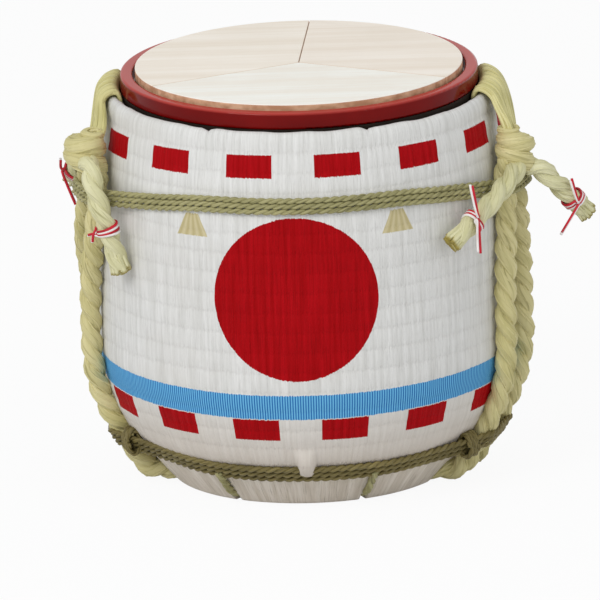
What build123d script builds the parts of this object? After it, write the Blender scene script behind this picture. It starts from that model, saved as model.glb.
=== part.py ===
"""Straw-wrapped wooden sake barrel with a lacquered tub and a lid in three boards.

The origin is the centre of the flat underside, +Z is up and -Y is the front.
All sizes are in millimetres.
"""

import os
from math import acos, asin, atan2, cos, degrees, hypot, pi, radians, sin, sqrt, tan

from build123d import *

os.makedirs("parts", exist_ok=True)

# Lid and lacquered tub
LID_R = 80.0
LID_T = 6.0
LID_SIDE_GAP = 1.4
LID_SEAM = 0.3
LID_PROUD = 2.5
SEAM_BACK, SEAM_LEFT, SEAM_RIGHT = 85.7, 206.9, 332.9
LID_SEAMS = {
    "back_right": (SEAM_RIGHT, SEAM_BACK + 360),
    "back_left": (SEAM_BACK, SEAM_LEFT),
    "front": (SEAM_LEFT, SEAM_RIGHT),
}
RIM_W = 6.0
RIM_H = 8.3
LEDGE_W = 3.9
TUB_WALL = 3.5
TUB_TAPER = 8.4
TUB_DEPTH = 98.7
TUB_FLOOR_T = 3.5
RECESS_R = LID_R + LID_SIDE_GAP
RIM_R = RECESS_R + RIM_W
LEDGE_R = RECESS_R - LEDGE_W
TUB_BODY_R = LEDGE_R + TUB_WALL
TUB_FOOT_R = TUB_BODY_R - TUB_TAPER

# Cask
STAVE_COUNT = 16
STAVE_T = 5.5
STAVE_TAPER = 14.6
TUB_FIT = 0.6
BOARD_T = 8.0
BOARD_RAISE = 11.0
CROZE_DEPTH = 2.5
BOARD_SEAM_X = 24.0
DOWEL_D = 5.0
DOWEL_L = 22.0
DOWEL_Y = 30.0
HOOP_T = 3.0
HOOP_W = 9.0
HOOP_TOP_DROP = 26.2
HOOP_MIDDLE_UP = 97.0
HOOP_BOTTOM_UP = 33.0
STAVE_TOP_R = TUB_BODY_R + TUB_FIT + STAVE_T
STAVE_FOOT_R = STAVE_TOP_R - STAVE_TAPER

# Outline of the wrapped body, from the floor up
MAT_T = 3.5
PAD_T = 13.0
PADDING_T = 13.9
FOOT_INSET = 5.5
FOOT_CONE_H = 22.0
HEM_Z = 28.0
BELLY_LOW_Z = 70.0
SHOULDER_Z = 184.0
UPPER_CURVE_H = 54.0
LOW_CURVE_R = 82.0
HIGH_CURVE_R = 305.0
LIP_RISE = 10.0
LIP_GAP = 2.5
LIP_ROLL = 1.9
FOOT_R = STAVE_FOOT_R - FOOT_INSET
BELLY_R = STAVE_TOP_R + PADDING_T
BELLY_HIGH_Z = SHOULDER_Z - UPPER_CURVE_H
LIP_INNER_R = RIM_R + LIP_GAP
LIP_CREST_R = LIP_INNER_R + LIP_ROLL
LIP_CREST_Z = SHOULDER_Z + LIP_RISE
STAVE_TOP_Z = LIP_CREST_Z + 0.2
BOARD_Z = PAD_T + BOARD_RAISE
TUB_FLOOR_Z = STAVE_TOP_Z - TUB_DEPTH
HOOP_ZS = {"top": STAVE_TOP_Z - HOOP_TOP_DROP, "middle": PAD_T + HOOP_MIDDLE_UP, "bottom": PAD_T + HOOP_BOTTOM_UP}

# Ropes and cords
ROPE_D = 10.0
KNOT_ROPE_D = 8.4
TAIL_D = 9.8
GIRTH_UPPER_D = 2.6
GIRTH_LOWER_D = 2.8
GIRTH_PITCH = 3.2
PAPER_CORD_D = 1.5
TIE_ROPE_D = 2.6
CLEAR = 0.3
GIRTH_UPPER_DROP = 24.6
GIRTH_DIP = 8.0
GIRTH_LOWER_Z = 23.2
UNDER_ROPE_Z = 5.7
GIRTH_UPPER_Z = SHOULDER_Z - GIRTH_UPPER_DROP

# Azimuths are counted from the front (-Y) towards the right (+X)
LEG_AZ = {"front": (65.5, -80.0), "rear": (88.5, -102.5)}
LEG_TOP_AZ = {"front": (68.5, -69.5), "rear": (77.5, -78.5)}
LEG_SPREAD_Z = 84.0
KNOT_AZ = {"right": 71.0, "left": -71.0}
NECK_AZ = {"right": 75.0, "left": -75.0}
NECK_RIM_AZ = {"right": (70.0, 93.0), "left": (-93.0, -70.0)}
KNOT_COIL_R = 5.6
KNOT_PITCH = 9.4
KNOT_TURNS = 1.5
FOOT_TIE_AZ = (-156.0, -124.0, -32.0, 21.5, 116.0, 160.0)


def polar(radius, azimuth, z=0.0):
    """A point at an azimuth counted from the front towards the right."""
    return (radius * sin(radians(azimuth)), -radius * cos(radians(azimuth)), z)


def mat_radius(z, out=0.0):
    """Radius of the wrapped body at height z, moved out along the surface normal."""
    knee_r = BELLY_R - LOW_CURVE_R + sqrt(LOW_CURVE_R**2 - (BELLY_LOW_Z - FOOT_CONE_H) ** 2)
    slope = (knee_r - FOOT_R) / FOOT_CONE_H
    cone = FOOT_R + slope * z + out * sqrt(1 + slope**2)
    if z < FOOT_CONE_H:
        return cone
    if z < BELLY_LOW_Z:
        return BELLY_R - LOW_CURVE_R + sqrt((LOW_CURVE_R + out) ** 2 - (BELLY_LOW_Z - z) ** 2)
    if z < BELLY_HIGH_Z:
        return BELLY_R + out
    return BELLY_R - HIGH_CURVE_R + sqrt((HIGH_CURVE_R + out) ** 2 - (z - BELLY_HIGH_Z) ** 2)


def mat_point(z, out=0.0):
    return (mat_radius(z, out), z)


def stave_outer(z):
    return STAVE_FOOT_R + (STAVE_TOP_R - STAVE_FOOT_R) * (z - PAD_T) / (STAVE_TOP_Z - PAD_T)


def side_plane(azimuth):
    """Upright plane through the axis: local x is the radius, local y is the height."""
    direction = polar(1.0, azimuth)
    return Plane(origin=(0, 0, 0), x_dir=direction, z_dir=(direction[1], -direction[0], 0))


def save(piece, name):
    piece.part.label = name
    export_step(piece.part, f"parts/{name}.step")


def vec(a, b):
    return tuple(q - p for p, q in zip(a, b))


def size(v):
    return sqrt(sum(c * c for c in v))


def unit(v):
    length = size(v)
    return tuple(c / length for c in v)


def dot(a, b):
    return sum(p * q for p, q in zip(a, b))


def bend_radii(points, tight, tight_radius):
    """Arc at each corner of a route: as large as its runs, or the groove at a tight corner, allow."""
    radii = []
    for i, (a, b, c) in enumerate(zip(points, points[1:], points[2:])):
        turn = acos(max(-1.0, min(1.0, dot(unit(vec(a, b)), unit(vec(b, c))))))
        radius = 0.45 * min(size(vec(a, b)), size(vec(b, c))) / tan(turn / 2)
        radii.append(min(radius, tight_radius) if i + 1 in tight else radius)
    return radii


def route_tube(name, points, diameter, tight=(), tight_radius=0.0):
    """Rope or cord along straight runs with tangent arcs between them."""
    radii = bend_radii(points, tight, tight_radius)
    print(name, "arc radii", [round(r, 1) for r in radii])
    with BuildPart() as tube:
        with BuildLine() as path:
            FilletPolyline(*points, radius=radii)
        with BuildSketch(Plane(origin=path.line @ 0, z_dir=path.line % 0)):
            Circle(diameter / 2)
        sweep(path=path.line)
    return tube


def biarc(p0, t0, p1, t1):
    """Two tangent arcs between two points with given directions."""
    v = vec(p0, p1)
    both = tuple(a + b for a, b in zip(t0, t1))
    a = 2 * (dot(t0, t1) - 1)
    b = -2 * dot(v, both)
    c = dot(v, v)
    if abs(a) < 1e-9:
        d = -c / b
    else:
        d = (-b - sqrt(b * b - 4 * a * c)) / (2 * a)
    q0 = tuple(p + d * t for p, t in zip(p0, t0))
    q1 = tuple(p - d * t for p, t in zip(p1, t1))
    middle = tuple((p + q) / 2 for p, q in zip(q0, q1))
    bow = size(vec(middle, tuple((p + q) / 2 for p, q in zip(p0, p1)))) / size(v)
    turned = 1 - dot(t0, unit(v)) + 1 - dot(t1, unit(v))
    if bow < 2e-4 and turned < 1e-7:
        Line(p0, p1)
        return
    TangentArc(p0, middle, tangent=t0)
    TangentArc(middle, p1, tangent=unit(vec(q0, q1)))


def wound_tube(points, marks, diameter):
    """Tube wound along a dense line of points, on two arcs from mark to mark."""

    def heading(i):
        return unit(vec(points[max(i - 1, 0)], points[min(i + 1, len(points) - 1)]))

    with BuildPart() as tube:
        with BuildLine() as path:
            for i, j in zip(marks, marks[1:]):
                biarc(points[i], heading(i), points[j], heading(j))
        with BuildSketch(Plane(origin=path.line @ 0, z_dir=path.line % 0)):
            Circle(diameter / 2)
        sweep(path=path.line)
    return tube


def least_gap(name, points, diameter, near):
    """Least gap of a wound tube to its own next turn, on the points of its line."""
    some = points[::6]
    step = size(vec(some[0], some[1]))
    skip = int(near / step) + 1
    least = min(
        size(vec(a, b)) for i, a in enumerate(some) for b in some[i + skip :]
    )
    print(name, "least gap to itself", round(least - diameter, 2))


# Cask staves
def make_stave(index):
    step = 360 / STAVE_COUNT
    foot = PAD_T
    groove = BOARD_Z
    with BuildPart() as stave:
        with BuildSketch(side_plane(index * step)):
            with BuildLine():
                Polyline(
                    (stave_outer(foot), foot),
                    (stave_outer(STAVE_TOP_Z), STAVE_TOP_Z),
                    (stave_outer(STAVE_TOP_Z) - STAVE_T, STAVE_TOP_Z),
                    (stave_outer(groove + BOARD_T) - STAVE_T, groove + BOARD_T),
                    (stave_outer(groove) - STAVE_T + CROZE_DEPTH, groove + BOARD_T),
                    (stave_outer(groove) - STAVE_T + CROZE_DEPTH, groove),
                    (stave_outer(groove) - STAVE_T, groove),
                    (stave_outer(foot) - STAVE_T, foot),
                    close=True,
                )
            make_face()
        revolve(axis=Axis.Z, revolution_arc=step)
    return stave


for stave_index in range(STAVE_COUNT):
    save(make_stave(stave_index), f"stave_{stave_index + 1:02d}")

# Cask bottom: three boards joined by dowels, held in the groove of the staves
BOARD_R = stave_outer(BOARD_Z) - STAVE_T + CROZE_DEPTH - 0.2


def make_bottom_board(centre_x, width):
    with BuildPart() as board:
        with BuildSketch(Plane.XY.offset(BOARD_Z)):
            Circle(BOARD_R)
            with Locations((centre_x, 0)):
                Rectangle(width, 2 * BOARD_R, mode=Mode.INTERSECT)
        extrude(amount=BOARD_T)
        for seam in (-BOARD_SEAM_X, BOARD_SEAM_X):
            for y in (-DOWEL_Y, DOWEL_Y):
                with Locations(Location((seam, y, BOARD_Z + BOARD_T / 2), (0, 90, 0))):
                    Cylinder(DOWEL_D / 2 + 0.05, DOWEL_L + 0.4, mode=Mode.SUBTRACT)
    return board


OUTER_BOARD_W = BOARD_R - BOARD_SEAM_X + 1
save(make_bottom_board(0, 2 * BOARD_SEAM_X), "bottom_board_middle")
save(make_bottom_board(BOARD_SEAM_X + OUTER_BOARD_W / 2, OUTER_BOARD_W), "bottom_board_right")
save(make_bottom_board(-BOARD_SEAM_X - OUTER_BOARD_W / 2, OUTER_BOARD_W), "bottom_board_left")

for seam_name, seam_x in (("left", -BOARD_SEAM_X), ("right", BOARD_SEAM_X)):
    with BuildPart() as dowels:
        for dowel_y in (-DOWEL_Y, DOWEL_Y):
            with Locations(Location((seam_x, dowel_y, BOARD_Z + BOARD_T / 2), (0, 90, 0))):
                Cylinder(DOWEL_D / 2, DOWEL_L)
    save(dowels, f"bottom_dowels_{seam_name}")


# Hoops round the staves
def make_hoop(z):
    low = z - HOOP_W / 2
    high = z + HOOP_W / 2
    with BuildPart() as hoop:
        with BuildSketch(Plane.XZ):
            with BuildLine():
                Polyline(
                    (stave_outer(low) + 0.05, low),
                    (stave_outer(low) + HOOP_T, low),
                    (stave_outer(high) + HOOP_T, high),
                    (stave_outer(high) + 0.05, high),
                    close=True,
                )
            make_face()
        revolve(axis=Axis.Z)
    return hoop


for hoop_name, hoop_z in HOOP_ZS.items():
    save(make_hoop(hoop_z), f"hoop_{hoop_name}")

# Straw padding between the cask and the mat
PADDING_FOOT_Z = PAD_T + 7.0
PADDING_INSET = -(MAT_T + 0.15)
with BuildPart() as straw_padding:
    with BuildSketch(Plane.XZ):
        with BuildLine():
            low = mat_point(PADDING_FOOT_Z, PADDING_INSET)
            knee = mat_point(FOOT_CONE_H + 0.001, PADDING_INSET)
            belly_low = (BELLY_R + PADDING_INSET, BELLY_LOW_Z)
            belly_high = (BELLY_R + PADDING_INSET, BELLY_HIGH_Z)
            top = mat_point(SHOULDER_Z, PADDING_INSET)
            Line(low, knee)
            ThreePointArc(knee, mat_point((knee[1] + BELLY_LOW_Z) / 2, PADDING_INSET), belly_low)
            Line(belly_low, belly_high)
            ThreePointArc(belly_high, mat_point((BELLY_HIGH_Z + SHOULDER_Z) / 2, PADDING_INSET), top)
            Polyline(
                top,
                (stave_outer(SHOULDER_Z) + HOOP_T + 0.2, SHOULDER_Z),
                (stave_outer(PADDING_FOOT_Z) + HOOP_T + 0.2, PADDING_FOOT_Z),
                low,
            )
        make_face()
    revolve(axis=Axis.Z)
save(straw_padding, "straw_padding")

# Side mat with its rolled lip
with BuildPart() as mat_side:
    with BuildSketch(Plane.XZ):
        with BuildLine():
            hem = mat_point(HEM_Z)
            belly_low = (BELLY_R, BELLY_LOW_Z)
            belly_high = (BELLY_R, BELLY_HIGH_Z)
            shoulder = mat_point(SHOULDER_Z)
            crest = (LIP_CREST_R, LIP_CREST_Z)
            lip_low = (LIP_INNER_R, LIP_CREST_Z - MAT_T)
            shoulder_in = mat_point(SHOULDER_Z, -MAT_T)
            belly_high_in = (BELLY_R - MAT_T, BELLY_HIGH_Z)
            belly_low_in = (BELLY_R - MAT_T, BELLY_LOW_Z)
            hem_in = mat_point(HEM_Z, -MAT_T)
            rise = crest[1] - shoulder[1]
            Line(hem_in, hem)
            ThreePointArc(hem, mat_point((HEM_Z + BELLY_LOW_Z) / 2), belly_low)
            Line(belly_low, belly_high)
            ThreePointArc(belly_high, mat_point((BELLY_HIGH_Z + SHOULDER_Z) / 2), shoulder)
            ThreePointArc(shoulder, (shoulder[0] - 1.0, shoulder[1] + 0.66 * rise), crest)
            ThreePointArc(crest, (LIP_INNER_R + 0.4, LIP_CREST_Z - 0.8), (LIP_INNER_R, LIP_CREST_Z - 1.8))
            Line((LIP_INNER_R, LIP_CREST_Z - 1.8), lip_low)
            Line(lip_low, shoulder_in)
            ThreePointArc(
                shoulder_in, mat_point((BELLY_HIGH_Z + SHOULDER_Z) / 2, -MAT_T), belly_high_in
            )
            Line(belly_high_in, belly_low_in)
            ThreePointArc(belly_low_in, mat_point((HEM_Z + BELLY_LOW_Z) / 2, -MAT_T), hem_in)
        make_face()
    revolve(axis=Axis.Z)
save(mat_side, "mat_side")

# Base mat: a cup with a thick straw floor, grooved for the ropes that pass under it
UNDER_GROOVE_W = ROPE_D + 2 * CLEAR
UNDER_GROOVE_H = UNDER_ROPE_Z + ROPE_D / 2 + CLEAR
TIE_GROOVE = TIE_ROPE_D + 2 * CLEAR
TIE_UNDER_Z = TIE_ROPE_D / 2 + 0.3
TIE_REACH = 16.0


def under_ends(which):
    """Points of the floor outline where a thick rope passes under the base."""
    right, left = LEG_AZ[which]
    radius = mat_radius(UNDER_ROPE_Z, ROPE_D / 2 + CLEAR)
    return polar(radius, right, UNDER_ROPE_Z), polar(radius, left, UNDER_ROPE_Z)


with BuildPart() as mat_base:
    with BuildSketch(Plane.XZ):
        with BuildLine():
            rim_z = HEM_Z - 0.4
            foot = (FOOT_R, 0)
            knee = mat_point(FOOT_CONE_H + 0.001)
            rim = mat_point(rim_z)
            rim_in = mat_point(rim_z, -MAT_T)
            knee_in = mat_point(FOOT_CONE_H + 0.001, -MAT_T)
            pad_edge = mat_point(PAD_T, -MAT_T)
            Line((0, 0), foot)
            Line(foot, knee)
            ThreePointArc(knee, mat_point((FOOT_CONE_H + rim_z) / 2), rim)
            Line(rim, rim_in)
            ThreePointArc(rim_in, mat_point((FOOT_CONE_H + rim_z) / 2, -MAT_T), knee_in)
            Polyline(knee_in, pad_edge, (0, PAD_T), (0, 0))
        make_face()
    revolve(axis=Axis.Z)
    for which in ("front", "rear"):
        start, end = under_ends(which)
        run = vec(start, end)
        centre = tuple((a + b) / 2 for a, b in zip(start, end))
        turn = degrees(atan2(run[1], run[0]))
        with Locations(Location((centre[0], centre[1], UNDER_GROOVE_H / 2), (0, 0, turn))):
            Box(size(run) + 40, UNDER_GROOVE_W, UNDER_GROOVE_H, mode=Mode.SUBTRACT)
    for azimuth in FOOT_TIE_AZ:
        place = polar(FOOT_R, azimuth, TIE_GROOVE / 2)
        with Locations(Location(place, (0, 0, azimuth - 90))):
            Box(2 * TIE_REACH + 4, TIE_GROOVE, TIE_GROOVE, mode=Mode.SUBTRACT)
save(mat_base, "mat_base")

# Lacquered tub: flange on the stave tops, ledge for the lid, tapered body and raised floor
RIM_TOP_Z = STAVE_TOP_Z + RIM_H
LEDGE_Z = RIM_TOP_Z + LID_PROUD - LID_T
with BuildPart() as tub:
    with BuildSketch(Plane.XZ):
        with BuildLine():
            FilletPolyline(
                (0, TUB_FLOOR_Z - TUB_FLOOR_T),
                (TUB_FOOT_R, TUB_FLOOR_Z - TUB_FLOOR_T),
                (TUB_BODY_R, STAVE_TOP_Z),
                (RIM_R, STAVE_TOP_Z),
                (RIM_R, RIM_TOP_Z),
                (RECESS_R, RIM_TOP_Z),
                (RECESS_R, LEDGE_Z),
                (LEDGE_R, LEDGE_Z),
                (TUB_FOOT_R - TUB_WALL, TUB_FLOOR_Z),
                (0, TUB_FLOOR_Z),
                radius=(2.0, 0, 1.2, 1.3, 1.0, 0, 0.6, 2.5),
            )
            Line((0, TUB_FLOOR_Z), (0, TUB_FLOOR_Z - TUB_FLOOR_T))
        make_face()
    revolve(axis=Axis.Z)
save(tub, "tub")


# Lid: three boards, each a sector of the disc
def make_lid_board(first, second):
    half_gap = LID_SEAM / 2
    half_turn = radians(second - first) / 2
    middle = radians(first) + half_turn
    reach = half_gap / sin(half_turn)
    slip = asin(half_gap / LID_R)
    apex = (reach * cos(middle), reach * sin(middle))
    start = (LID_R * cos(radians(first) + slip), LID_R * sin(radians(first) + slip))
    end = (LID_R * cos(radians(second) - slip), LID_R * sin(radians(second) - slip))
    outer = (LID_R * cos(middle), LID_R * sin(middle))
    with BuildPart() as board:
        with BuildSketch(Plane.XY.offset(LEDGE_Z)):
            with BuildLine():
                Line(apex, start)
                ThreePointArc(start, outer, end)
                Line(end, apex)
            make_face()
        extrude(amount=LID_T)
    return board


for lid_name, (seam_a, seam_b) in LID_SEAMS.items():
    save(make_lid_board(seam_a, seam_b), f"lid_{lid_name}")


# Thick ropes: down one side, under the base, up the other side
KNOT_H = KNOT_TURNS * KNOT_PITCH + KNOT_ROPE_D
GIRTH_UPPER_SPAN = 2 * GIRTH_PITCH + GIRTH_UPPER_D
LEG_OUT = ROPE_D / 2 + CLEAR + 0.5
LEG_TOP_Z = GIRTH_UPPER_Z - GIRTH_DIP + GIRTH_UPPER_SPAN / 2 + 1.0
KNOT_Z = LEG_TOP_Z + 0.5 + KNOT_H / 2


def leg_points(which, side):
    """Line of a thick rope on one side, from the knot down to the floor groove."""
    low_az = LEG_AZ[which][side]
    top_az = LEG_TOP_AZ[which][side]
    spread = LEG_TOP_Z - LEG_SPREAD_Z
    levels = [LEG_TOP_Z - spread * i / 6 for i in range(7)]
    levels += [LEG_SPREAD_Z + (FOOT_CONE_H - 2 - LEG_SPREAD_Z) * i / 4 for i in range(1, 5)]
    points = []
    for z in levels:
        u = min(1.0, (LEG_TOP_Z - z) / spread)
        share = u * u * (3 - 2 * u)
        points.append(polar(mat_radius(z, LEG_OUT), top_az + (low_az - top_az) * share, z))
    return points + [under_ends(which)[side]]


for which in ("front", "rear"):
    right_leg = leg_points(which, 0)
    left_leg = leg_points(which, 1)
    corners = (len(right_leg) - 1, len(right_leg))
    rope = route_tube(f"rope_{which}", right_leg + left_leg[::-1], ROPE_D, corners, 0.75 * ROPE_D)
    save(rope, f"rope_{which}")


# Knots where the thick ropes meet the neck ropes
def coil(origin, x_dir, z_dir, radius, pitch, turns, start, steps):
    """Points of a coil round an axis, with a mark at every step of its turns."""
    y_dir = (
        z_dir[1] * x_dir[2] - z_dir[2] * x_dir[1],
        z_dir[2] * x_dir[0] - z_dir[0] * x_dir[2],
        z_dir[0] * x_dir[1] - z_dir[1] * x_dir[0],
    )
    count = int(round(turns * steps)) * 40
    points = []
    for i in range(count + 1):
        turn = turns * i / count
        angle = radians(start) + 2 * pi * turn
        rise = pitch * (turn - turns / 2)
        points.append(
            tuple(
                o + radius * (cos(angle) * x + sin(angle) * y) + rise * z
                for o, x, y, z in zip(origin, x_dir, y_dir, z_dir)
            )
        )
    return points, list(range(0, count + 1, 40))


KNOT_R = mat_radius(KNOT_Z - KNOT_H / 2, KNOT_COIL_R + KNOT_ROPE_D / 2 + CLEAR + 0.2)
for side_name, knot_az in KNOT_AZ.items():
    hand = 1.0 if side_name == "right" else -1.0
    centre = polar(KNOT_R, hand * knot_az, KNOT_Z)
    turned, knot_marks = coil(
        centre, (-1.0, 0.0, 0.0), (0.0, 0.0, 1.0), KNOT_COIL_R, KNOT_PITCH, KNOT_TURNS, 0.0, 4
    )
    knot_line = [(hand * x, y, z) for x, y, z in turned]
    save(wound_tube(knot_line, knot_marks, KNOT_ROPE_D), f"knot_{side_name}")
    least_gap(f"knot_{side_name}", knot_line, KNOT_ROPE_D, pi * KNOT_COIL_R)


# Neck ropes: a loop that is spread at the rim, comes out over the shoulder and narrows to the knot
def neck_points(rim_azimuth, azimuth, shift):
    """One leg of the loop, from the rim out over the lip and down to the knot."""
    out = KNOT_ROPE_D / 2 + CLEAR
    ride = LIP_CREST_Z + out + 0.4
    fall = mat_radius(SHOULDER_Z, out) + 1.2
    low = KNOT_Z + KNOT_H / 2 + CLEAR + KNOT_ROPE_D / 2
    radial = polar(1.0, azimuth)
    side = (-radial[1], radial[0])
    halfway = azimuth + NECK_LEAN * (rim_azimuth - azimuth)
    return [
        polar(RIM_R + CLEAR + 3.2, rim_azimuth, ride),
        polar(fall, halfway, ride),
        (fall * radial[0] + shift * side[0], fall * radial[1] + shift * side[1], low),
    ]


NECK_HALF = 4.9
NECK_LEAN = 0.75
for side_name, neck_az in NECK_AZ.items():
    first_az, second_az = NECK_RIM_AZ[side_name]
    leg_a = neck_points(first_az, neck_az, -NECK_HALF)
    leg_b = neck_points(second_az, neck_az, NECK_HALF)
    neck_route = leg_a + leg_b[::-1]
    save(route_tube(f"neck_rope_{side_name}", neck_route, KNOT_ROPE_D), f"neck_rope_{side_name}")

# Rope tails that hang from the knots
TAIL_SEAT = KNOT_COIL_R + KNOT_ROPE_D / 2 + CLEAR + 0.2
TAIL_STEPS = {
    "right_front": ((-1, 0), -4.8, [(0, -5.5, 0), (-17, -25, -17), (-33, -36, -31)]),
    "right_rear": ((0, 1), -2.4, [(6, 0, 0), (15.5, 6.5, -11.5), (24.5, 12.5, -35.5)]),
    "left_front": ((-1, 0), -4.8, [(0, -4.5, -0.5), (0.5, -10, -6), (5, -13.5, -22), (14, -12, -46)]),
    "left_rear": ((1, 0), -2.4, [(-1.5, 6, 0), (-8, 20, -5), (-12, 42, -18)]),
}


def tail_route_of(name):
    """Route of a tail: it starts square on the knot and then falls by its own steps."""
    (front, outer), rise, steps = TAIL_STEPS[name]
    knot = polar(KNOT_R, KNOT_AZ[name.split("_")[0]], KNOT_Z)
    start = (knot[0] + TAIL_SEAT * outer, knot[1] + TAIL_SEAT * front, knot[2] + rise)
    return [start] + [tuple(p + q for p, q in zip(start, step)) for step in steps]


TAIL_ROUTES = {name: tail_route_of(name) for name in TAIL_STEPS}
for tail_name, tail_route in TAIL_ROUTES.items():
    save(route_tube(f"tail_{tail_name}", tail_route, TAIL_D), f"tail_{tail_name}")
    print("tail length", tail_name, round(sum(size(vec(a, b)) for a, b in zip(tail_route, tail_route[1:])), 1))

# Red and white paper cords tied round the tails
PAPER_COIL_R = TAIL_D / 2 + PAPER_CORD_D / 2 + CLEAR
PAPER_PITCH = 2 * PAPER_CORD_D + 1.0
for tail_name, tail_route in TAIL_ROUTES.items():
    run = unit(vec(tail_route[-2], tail_route[-1]))
    reach = size(vec(tail_route[-2], tail_route[-1]))
    across = unit((-run[1], run[0], 0.0)) if hypot(run[0], run[1]) > 0.05 else (1.0, 0.0, 0.0)
    for colour, offset in (("red", 0.0), ("white", PAPER_CORD_D + 0.5)):
        along = 0.62 * reach + offset
        middle = tuple(p + along * r for p, r in zip(tail_route[-2], run))
        cord_line, cord_marks = coil(
            middle, across, run, PAPER_COIL_R, PAPER_PITCH, 2.0, 0.0, 4
        )
        save(wound_tube(cord_line, cord_marks, PAPER_CORD_D), f"paper_cord_{tail_name}_{colour}")
        least_gap(f"paper_cord_{tail_name}_{colour}", cord_line, PAPER_CORD_D, pi * PAPER_COIL_R)


# Girth ropes: three turns drawn tight round the body and the thick ropes
def hull(circles):
    """Directions of the outward normals where a tight line leaves each circle."""
    normals = []
    for a, b in zip(circles, circles[1:] + circles[:1]):
        dx = b[0] - a[0]
        dy = b[1] - a[1]
        normals.append(atan2(dy, dx) - acos((a[2] - b[2]) / hypot(dx, dy)))
    return normals


def girth_circles(z, leg_z, diameter):
    """Body and thick ropes at one turn, counter-clockwise from the left rear leg."""
    gap = diameter / 2 + CLEAR
    body = (0.0, 0.0, mat_radius(z) + gap)
    lean = sqrt(1 + (mat_radius(leg_z + 1) - mat_radius(leg_z - 1)) ** 2 / 4)
    leg_r = lean * ROPE_D / 2 + gap + 0.3

    def leg(which, side):
        points = leg_points(which, side)
        for a, b in zip(points, points[1:]):
            if a[2] >= leg_z >= b[2]:
                share = (a[2] - leg_z) / (a[2] - b[2])
                x, y, _ = (p + share * (q - p) for p, q in zip(a, b))
                return (x, y, leg_r)
        return (points[0][0], points[0][1], leg_r)

    return [leg("rear", 1), leg("front", 1), body, leg("front", 0), leg("rear", 0), body]


def arc_points(circle, first, last, step):
    while last < first:
        last += 2 * pi
    count = max(2, int((last - first) * circle[2] / step))
    return [
        (
            circle[0] + circle[2] * cos(first + (last - first) * i / count),
            circle[1] + circle[2] * sin(first + (last - first) * i / count),
        )
        for i in range(count + 1)
    ]


def line_points(a, b, step):
    count = max(2, int(hypot(b[0] - a[0], b[1] - a[1]) / step))
    return [tuple(p + (q - p) * i / count for p, q in zip(a, b)) for i in range(1, count)]


def girth_line(z_levels, dip, diameter):
    """Dense line of a girth rope with three passes in front, and its marks."""
    step = 0.5
    plan = []
    marks = []
    turns = [girth_circles(z, z - dip, diameter) for z in z_levels]
    normals = [hull(circles) for circles in turns]

    def mark():
        if not marks or len(plan) - 1 - marks[-1] > 4:
            marks.append(len(plan) - 1)

    def add_arc(circle, first, last, z):
        span = (last - first) % (2 * pi)
        pieces = max(1, int(round(span / radians(48))))
        for piece in range(pieces):
            a = first + span * piece / pieces
            b = first + span * (piece + 1) / pieces
            new = [(x, y, z) for x, y in arc_points(circle, a, b, step)]
            plan.extend(new if not plan else new[1:])
            mark()

    for turn, (circles, out) in enumerate(zip(turns, normals)):
        z = z_levels[turn]
        if turn == 0:
            first = out[5] - radians(14)
            plan.append((circles[5][2] * cos(first), circles[5][2] * sin(first), z))
            marks.append(0)
            add_arc(circles[5], first, out[5], z)
        for place in range(5):
            normal = out[place - 1] if place else out[5]
            plan_last = plan[-1]
            start = (
                circles[place][0] + circles[place][2] * cos(normal),
                circles[place][1] + circles[place][2] * sin(normal),
            )
            plan.extend((x, y, z) for x, y in line_points(plan_last[:2], start, step))
            plan.append((start[0], start[1], z))
            mark()
            add_arc(circles[place], normal, out[place], z)
        body = circles[5]
        start = (body[2] * cos(out[4]), body[2] * sin(out[4]))
        plan.extend((x, y, z) for x, y in line_points(plan[-1][:2], start, step))
        plan.append((start[0], start[1], z))
        mark()
        if turn + 1 == len(turns):
            add_arc(body, out[4], out[4] + radians(14), z)
            break
        first = out[4]
        last = normals[turn + 1][5]
        while last < first:
            last += 2 * pi
        count = int((last - first) * body[2] / step)
        every = count // 4
        for i in range(1, count + 1):
            u = i / count
            share = u * u * (3 - 2 * u)
            radius = body[2] + (turns[turn + 1][5][2] - body[2]) * share
            angle = first + (last - first) * u
            height = z + (z_levels[turn + 1] - z) * share
            plan.append((radius * cos(angle), radius * sin(angle), height))
            if i % every == 0 and i + every <= count:
                mark()
        mark()
    if marks[-1] != len(plan) - 1:
        marks[-1] = len(plan) - 1

    def sag(x, y):
        azimuth = degrees(atan2(x, -y))
        right = max(0.0, LEG_TOP_AZ["front"][0] - azimuth, azimuth - LEG_TOP_AZ["rear"][0])
        left = max(0.0, LEG_TOP_AZ["rear"][1] - azimuth, azimuth - LEG_TOP_AZ["front"][1])
        far = min(right if azimuth > 0 else 360, left if azimuth < 0 else 360, 46.0) / 46.0
        return dip * (1 - far * far * (3 - 2 * far))

    return [(x, y, z - sag(x, y)) for x, y, z in plan], marks


UPPER_LEVELS = [GIRTH_UPPER_Z + GIRTH_PITCH * i for i in (-1, 0, 1)]
LOWER_LEVELS = [GIRTH_LOWER_Z + 0.98 * GIRTH_PITCH * i for i in (-1, 0, 1)]
for girth_name, levels, dip, thickness in (
    ("upper", UPPER_LEVELS, GIRTH_DIP, GIRTH_UPPER_D),
    ("lower", LOWER_LEVELS, 0.0, GIRTH_LOWER_D),
):
    girth, girth_marks = girth_line(levels, dip, thickness)
    save(wound_tube(girth, girth_marks, thickness), f"girth_rope_{girth_name}")
    least_gap(f"girth_rope_{girth_name}", girth, thickness, 60.0)

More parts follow.
